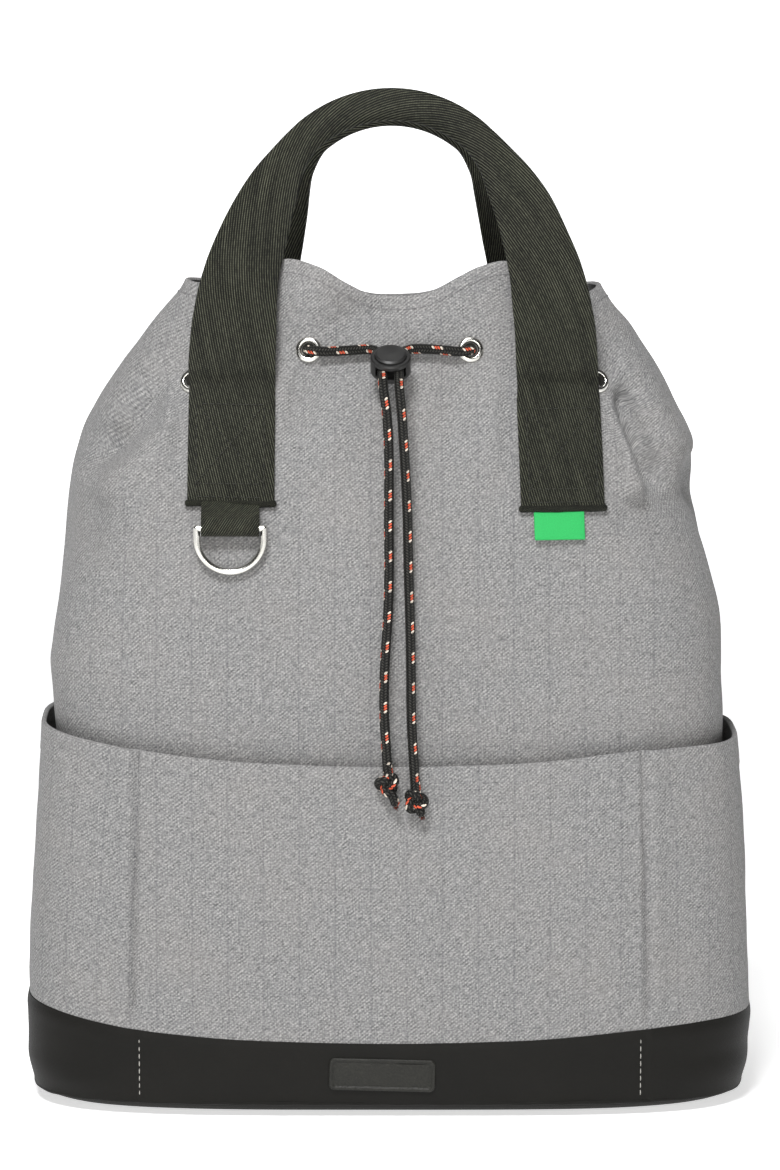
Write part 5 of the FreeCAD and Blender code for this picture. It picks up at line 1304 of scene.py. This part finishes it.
def strap(which):
    side = -1 if which == "front" else 1
    left, right = LEGS[which]
    cx, top, bend = CROWN[which]
    rows = []  # x, z, width, lean(out->in angle), on-body flag

    (fl_x, fl_z, fl_x2), (fr_x, fr_z, fr_x2) = FEET[which]
    for k in range(16):
        f = k / 15.0
        z = fl_z + (331.0 - fl_z) * f
        rows.append((fl_x + (fl_x2 - fl_x) * f, z, 40.2, 0.0))
    rows += [(x, z, w * (1.0 + 0.052 * float(smoothstep(400.0, 350.0, z))), lean) for z, x, w, lean in left]
    zc = top - 7.7 - bend
    for a in np.radians(np.linspace(-41, 41, 19)):
        rows.append((cx + bend * math.sin(a), zc + bend * math.cos(a), 15.4 + 1.0 * abs(math.sin(a)) * 0, -90.0 - math.degrees(a)))
    rows += [(x, z, w, -180.0 + lean) for z, x, w, lean in reversed(right)]
    for k in range(15, -1, -1):
        f = k / 15.0
        z = fr_z + (331.0 - fr_z) * f
        rows.append((fr_x + (fr_x2 - fr_x) * f, z, 38.8, -180.0))
    R = np.array(rows, float)
    # spline through the stations, evenly apart
    s = np.concatenate([[0], np.cumsum(np.hypot(np.diff(R[:, 0]), np.diff(R[:, 1])))])
    M = 420
    q = np.linspace(0, s[-1], M)
    X, Z, W, A = (pchip(s, R[:, i], q) for i in range(4))
    k = np.ones(5) / 5.0
    for arr in (W, A):
        arr[2:-2] = np.convolve(arr, k, "valid")
    # inwards direction within the strap's own plane
    ax, az = np.cos(np.radians(A)), np.sin(np.radians(A))
    base_y = 48.4 * side
    rise = np.clip(Z - 335.0, -60, 140)
    stand = pchip(*zip(*STAND), rise)
    fade = smoothstep(330.0, 402.0, Z)
    fold = smoothstep(398.0, 446.0, Z)          # folded in half lengthwise near the top
    thick = 2.6 + (8.2 - 2.6) * fold
    ring = []
    UV = []
    SEC = 44
    sec_a = np.linspace(0, 2 * pi, SEC, endpoint=False)
    for i in range(M):
        half = W[i] / 2.0
        # exponent: a flat strap has square edges, the folded grip is rounder
        e = 9.0 + (2.6 - 9.0) * fold[i]
        c, sn = np.cos(sec_a), np.sin(sec_a)
        kk = (np.abs(c) ** e + np.abs(sn) ** e) ** (-1.0 / e)
        # thin straps: keep points spread along the width
        su, sv = c * kk * half, sn * kk * thick[i] / 2.0
        px = X[i] + ax[i] * su
        pz = Z[i] + az[i] * su
        zz = np.clip(pz, 262, 396)
        fy = body_y(px, zz, side)
        chord = fy + side * (0.25 + 1.3)
        lift = base_y + side * stand[i]
        if Z[i] <= 333.0:
            y = chord
        else:
            t = smoothstep(333.0, 346.0, Z[i])
            bottom = body_y(px, np.full_like(px, 333.0), side) + side * 1.55
            mid = float(body_y(np.array([X[i]]), np.array([333.0]), side)[0]) + side * 1.55
            yaw = (bottom - mid) * (1 - fade[i])
            y0 = base_y + side * stand[i] + yaw
            y = chord * (1 - t) + np.where(True, y0, y0) * t if Z[i] < 346.0 else y0
        # the front's edge of the fold stands forward, the turned half behind it
        cup = 0.9 * fold[i] * (1 - (su / half) ** 2) * side
        slope_dir = side
        ring.append(np.stack([px, y + sv * slope_dir + cup, pz], 1))
        UV.append([( (su[j % SEC] if sn[j % SEC] >= 0 else (2 * half + thick[i] - su[j % SEC])) * MM, q[i] * MM) for j in range(SEC + 1)])
    ring = np.array(ring)
    # the thickness leans with the strap's own slope in y and z
    P = ring.mean(axis=1)
    Tn = np.gradient(P, axis=0)
    Tn /= np.linalg.norm(Tn, axis=1)[:, None]
    out = []
    for i in range(M):
        rel = ring[i] - P[i]
        inw = np.array([ax[i], 0, az[i]])
        nrm = np.cross(Tn[i], inw)
        nrm /= np.linalg.norm(nrm)
        if nrm[1] * side < 0:
            nrm = -nrm
        along = rel @ inw
        c, sn = np.cos(sec_a), np.sin(sec_a)
        e = 9.0 + (2.6 - 9.0) * fold[i]
        kk = (np.abs(c) ** e + np.abs(sn) ** e) ** (-1.0 / e)
        sv = sn * kk * thick[i] / 2.0
        flat_y = rel[:, 1] - sv * side
        p = P[i] + along[:, None] * inw + np.outer(flat_y, np.array([0, 1.0, 0])) + sv[:, None] * nrm
        out.append(p)
    ring = np.array(out)
    b = Build()
    b.add(ring * MM, UV, wrap=True, flip=(side < 0))
    for r_i, fl in ((0, side > 0), (M - 1, side < 0)):
        n = SEC
        base = r_i * n
        idx = list(range(base, base + n))
        b.f.append(tuple(idx[::-1] if fl else idx))
        b.m.append(0)
        b.uv.extend([(0.0, 0.0)] * n)
    ob = b.make(which + "_handle_strap", [WEB])
    pre = which + "_handle_"
    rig.replaces(ob, pre + "foot_left", pre + "foot_right", pre + "leg_left", pre + "leg_right", pre + "grip")
    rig.slot(ob, "webbing")
    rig.blend(ob, "bag", which + "_handle", start=(0, base_y * MM, 0.3315), end=(0, base_y * MM, 0.346))
    return ob


front_strap = strap("front")
rear_strap = strap("rear")

# each foot's cut end is turned under: a rounded roll along its bottom edge
b = Build()
for side, feet in ((-1, ((-73.2, 283.0, 40.6), (79.6, 280.6, 39.2))), (1, ((-67.5, 283.0, 40.4), (71.5, 283.0, 39.0)))):
    for x0, z0, w in feet:
        pts = []
        for u in np.linspace(-w / 2, w / 2, 26):
            y = float(body_y(np.array([x0 + u]), np.array([z0 + 0.8]), side)[0])
            pts.append((x0 + u, y + side * 1.75, z0 + 0.9 + 0.15 * math.sin(u / 3.1)))
        r = np.full(len(pts), 1.62) + 0.06 * np.sin(np.arange(len(pts)) * 1.3)
        tube_build(b, np.array(pts) * MM, r * MM, 14, first=(0, side, 0))
rolls = b.make("foot_rolls", [WEB])
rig.slot(rolls, "webbing")
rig.ride(rolls, "bag")

# loop of narrower webbing that holds the ring: down from under the foot, round the bar and back up
lo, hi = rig.box("d_ring_loop")
loop_c = (lo + hi) / 2 / MM
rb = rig.box("d_ring")
bar_z, bar_y = 273.0, -75.58
xs0, xs1 = lo.x / MM, hi.x / MM
prof = []
up_z = 284.5
fy = lambda z: float(body_y(np.array([-73.2]), np.array([z]), -1)[0])
r_out = 3.15
prof.append((fy(up_z) - 2.2, up_z))
prof.append((bar_y - r_out, bar_z + 4.6))
for a in np.linspace(0, -pi, 15):
    prof.append((bar_y - r_out * math.cos(a), bar_z + r_out * math.sin(a)))
prof.append((bar_y + r_out * 0.9, bar_z + 4.0))
prof.append((fy(up_z) - 0.5, up_z))
line = np.array(prof)
d = np.gradient(line, axis=0)
d /= np.linalg.norm(d, axis=1)[:, None]
nrm = np.stack([-d[:, 1], d[:, 0]], 1)
cols = np.linspace(xs0, xs1, 15)
outer = np.array([[(x, p[0] + 0.55 * n[0], p[1] + 0.55 * n[1]) for x in cols] for p, n in zip(line, nrm)])
inner = np.array([[(x, p[0] - 0.55 * n[0], p[1] - 0.55 * n[1]) for x in cols] for p, n in zip(line, nrm)])
ls = np.concatenate([[0], np.cumsum(np.hypot(*np.diff(line, axis=0).T))])
UVl = [[(x * MM, l * MM) for x in cols] for l in ls]
b = Build()
b.add(outer * MM, UVl, flip=False)
b.add(inner * MM, UVl, flip=True)
for col in (0, -1):
    e = np.stack([outer[:, col], inner[:, col]], 1)
    b.add(e * MM, [[(0, l * MM), (0.001, l * MM)] for l in ls], flip=(col == 0))
ring_loop = b.make("ring_loop_webbing", [WEB_LOOP])
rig.replaces(ring_loop, "d_ring_loop")
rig.slot(ring_loop, "webbing")
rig.ride(ring_loop, "bag")

# metal and plastic keep their own solids and get their finish here
# the button's spring: a short coil on the barrel's floor, pressed flat by the plunger
up = np.array([0.0, -0.5446, 0.8387])
side_v = np.array([0.0, 0.8387, 0.5446])
seat = np.array([0.3, -61.6, 342.95]) + up * 0.92
b = Build()
tube_build(b, [tuple((seat + up * (0.28 + 1.2 * t) + 5.0 * (math.cos(2 * pi * 1.6 * t) * np.array([1.0, 0.0, 0.0]) + math.sin(2 * pi * 1.6 * t) * side_v)) * MM) for t in np.linspace(0, 1, 90)], 0.25 * MM, 10)
coil = b.make("lock_spring_coil", [NICKEL])
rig.ride(coil, "drawcord")
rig.replaces(coil, "cord_lock_spring")
slot_if(coil, "spring_steel")
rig.squash(coil, "lock_button_press", tuple(up), tuple(seat * MM), keep=0.04)

for node, mat in (("d_ring", NICKEL), ("cord_lock_barrel", PLASTIC), ("cord_lock_plunger", PLASTIC)):
    ob = frame["nodes"][node]
    ob.data.materials.clear()
    ob.data.materials.append(mat)


# ------------------------------------------------------------------ stitches
def stitches(name, lines, length, gap, radius, mat, body_name="bag", slot_name="webbing", sides=6):
    """Small thread bars lying along lines of (point, outward) pairs."""
    b = Build()
    for pts, outs in lines:
        P = np.asarray(pts, float)
        O = np.asarray(outs, float)
        s = np.concatenate([[0], np.cumsum(np.linalg.norm(np.diff(P, axis=0), axis=1))])
        t = gap / 2
        while t + length < s[-1]:
            q = np.linspace(t, t + length, 6)
            seg = np.stack([np.interp(q, s, P[:, i]) for i in range(3)], 1)
            o = np.stack([np.interp(q, s, O[:, i]) for i in range(3)], 1)
            o /= np.linalg.norm(o, axis=1)[:, None]
            lift = np.sin(np.linspace(0.12, pi - 0.12, 6)) * radius * 0.9
            seg = seg + o * (lift[:, None] - radius * 0.25)
            rr = radius * (0.55 + 0.45 * np.sin(np.linspace(0.25, pi - 0.25, 6)))
            tube_build(b, seg * MM, rr * MM, sides, first=o[0])
            t += length + gap
    if not b.v:
        return None
    ob = b.make(name, [mat])
    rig.slot(ob, slot_name)
    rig.ride(ob, body_name)
    return ob


def on_face(x, z, side, off):
    """A point standing off the body's face."""
    n = face_normal(x, z, side)
    y = float(body_y(np.array([x]), np.array([z]), side)[0])
    return np.array([x, y, z]) + n * off, n


def face_line(p0, p1, side, off, count=24):
    pts, outs = [], []
    for f in np.linspace(0, 1, count):
        x, z = p0[0] + (p1[0] - p0[0]) * f, p0[1] + (p1[1] - p0[1]) * f
        p, n = on_face(x, z, side, off)
        pts.append(p)
        outs.append(n)
    return pts, outs


lines = []
for side, feet in ((-1, ((-73.2, 283.0, -73.0, 329.0), (79.6, 280.6, 77.8, 327.0))), (1, ((-67.5, 283.0, -67.5, 329.0), (71.5, 283.0, 71.5, 329.0)))):
    for x0, z0, x1, z1 in feet:
        def P(u, w):
            return (x0 + (x1 - x0) * w + u, z0 + (z1 - z0) * w)
        off = 2.95
        a, c, d_, e_ = P(-15.5, 0.07), P(15.5, 0.07), P(15.5, 0.97), P(-15.5, 0.97)
        lines += [face_line(a, c, side, off), face_line(c, d_, side, off), face_line(d_, e_, side, off), face_line(e_, a, side, off), face_line(P(-15.5, 0.20), d_, side, off), face_line(P(15.5, 0.20), e_, side, off), face_line(P(-15.5, 0.20), P(15.5, 0.20), side, off)]
stitches("foot_stitches", lines, 2.4, 0.9, 0.24, THREAD_WEB)

# hem stitches round the mouth
pts, outs = [], []
TT = even_angles(BODY, 380, 421)
zz = np.full(len(TT), 380.0)
for _ in range(4):
    x, y = sup(BODY, TT, zz)
    zz = rim(x, y) - 4.8
Q, N = shell_grid(BODY, TT, zz[None, :], body_folds, 0.12)
stitches("rim_stitches", [(Q[0], N[0])], 2.6, 1.0, 0.2, THREAD_GREY, slot_name="heather_cloth")

# light stitches down the base's front and back seams
lines = []
for side in (-1, 1):
    for sx, lean in ((-118.0, -1), (118.0, 1)):
        for dx in (2.2,):
            pts, outs = [], []
            for z in np.linspace(9.0, 38.5, 20):
                x = sx - lean * dx
                t = angle_at(SKIN, z, x, side, -1.5 * pi, 0.5 * pi) if False else None
                L, R, F, B_, n_ = (float(v) for v in table(SKIN, np.array([z])))
                a = R if x > 0 else L
                bb = B_ if side > 0 else F
                y = side * bb * (1 - (abs(x) / a) ** n_) ** (1 / n_)
                g = (abs(x) / a) ** (n_ - 1) * bb / a / max((1 - (abs(x) / a) ** n_) ** ((n_ - 1) / n_), 1e-6)
                nn = np.array([g * np.sign(x), side, 0.0])
                nn /= np.linalg.norm(nn)
                pts.append(np.array([x, y, z]) + nn * 1.15)
                outs.append(nn)
            lines.append((pts, outs))
stitches("base_seam_stitches", lines, 2.2, 1.3, 0.26, THREAD_LIGHT, slot_name="base_cloth")


def skin_point(x, z, side, off):
    L, R, F, B_, n_ = (float(v) for v in table(SKIN, np.array([z])))
    a = R if x > 0 else L
    bb = B_ if side > 0 else F
    q = 1 - (abs(x) / a) ** n_
    y = side * bb * q ** (1 / n_)
    g = (abs(x) / a) ** (n_ - 1) * bb / a / max(q ** ((n_ - 1) / n_), 1e-6)
    nn = np.array([g * np.sign(x), side, 0.0])
    nn /= np.linalg.norm(nn)
    return np.array([x, y, z]) + nn * off, nn


lines = []
for side in (-1, 1):
    for sx in (-118.0, 118.0):
        out = 1.0 if sx > 0 else -1.0
        pts, outs = [], []
        for z in np.linspace(42, 167, 70):
            x = sx + (4.0 if sx > 0 else -4.0) * (110 - z) / 120.0 * 0.6 + out * 2.6
            p_, n_ = skin_point(x, z, side, 0.15 if side < 0 else -0.1)
            pts.append(p_)
            outs.append(n_)
        lines.append((pts, outs))
stitches("pocket_seam_stitches", lines, 2.4, 1.1, 0.2, THREAD_GREY, slot_name="heather_cloth")

# ------------------------------------------------------------------ stage and light
b = Build()
n = 60
rows = []
for r, z in [(r, 0.0) for r in (0.001, 0.25, 0.5, 0.8, 1.2, 1.7, 2.4, 3.2, 4.0, 4.8)] + [(4.8 + 1.1 * math.sin(a), 1.1 - 1.1 * math.cos(a)) for a in np.linspace(0.12, pi / 2, 12)] + [(5.9, 1.25)]:
    rows.append([(r * math.cos(a), r * math.sin(a), z - 0.0002) for a in np.linspace(0, 2 * pi, 72, endpoint=False)])
b.add(np.array(rows), None, wrap=True)
stage = b.make("backdrop", [])
sm = Nodes("backdrop_white")
sm.set(Base_Color=(0.85, 0.85, 0.85, 1.0), Roughness=0.9)
sm.b.inputs["Emission Color"].default_value = (1.0, 1.0, 1.0, 1.0)
reach = sm.n("ShaderNodeVectorMath", operation="LENGTH")
sm.l(sm.n("ShaderNodeNewGeometry").outputs["Position"], reach.inputs[0])
where = sm.n("ShaderNodeSeparateXYZ")
sm.l(reach.inputs[0].links[0].from_socket, where.inputs[0])
behind = sm.math("MULTIPLY_ADD", where.outputs["Y"], 0.5, 0.1, clamp=True)
glow = sm.math("MULTIPLY", sm.math("DIVIDE", sm.math("SUBTRACT", reach.outputs["Value"], 0.7), 2.5, clamp=True), behind)
sm.l(sm.math("ADD", sm.math("MULTIPLY", glow, 0.43), 0.62), sm.b.inputs["Emission Strength"])
stage.data.materials.append(sm.mat)
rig.stage(stage)

world = bpy.data.worlds.new("studio")
SCENE.world = world
world.use_nodes = True
wt = world.node_tree
bg = wt.nodes.get("Background") or wt.nodes.new("ShaderNodeBackground")
bg.inputs[0].default_value = (1.0, 1.0, 1.0, 1.0)
bg.inputs[1].default_value = 0.05


def area(name, loc, target, size, power, color=(1, 1, 1)):
    d = bpy.data.lights.new(name, "AREA")
    d.energy = power
    d.shape = "RECTANGLE"
    d.size, d.size_y = size
    d.color = color
    o = link(bpy.data.objects.new(name, d))
    o.location = loc
    o.rotation_euler = (Vector(target) - Vector(loc)).to_track_quat("-Z", "Y").to_euler()
    return o


area("key_front", (-0.34, -1.6, 2.1), (0, 0, 0.26), (0.6, 0.5), 60, (0.99, 0.99, 1.0))
area("fill_front", (-0.05, -2.5, 0.8), (0, 0, 0.24), (0.8, 0.8), 12, (1.0, 0.96, 0.9))
area("top", (-0.1, -0.2, 2.0), (0, 0, 0.2), (0.9, 0.8), 7)
SCENE.view_settings.view_transform = "Standard"

lo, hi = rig.bounds()
with open("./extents.json", "w") as f:
    json.dump({"cad": [cad_lo, cad_hi], "visual": [list(lo), list(hi)]}, f)
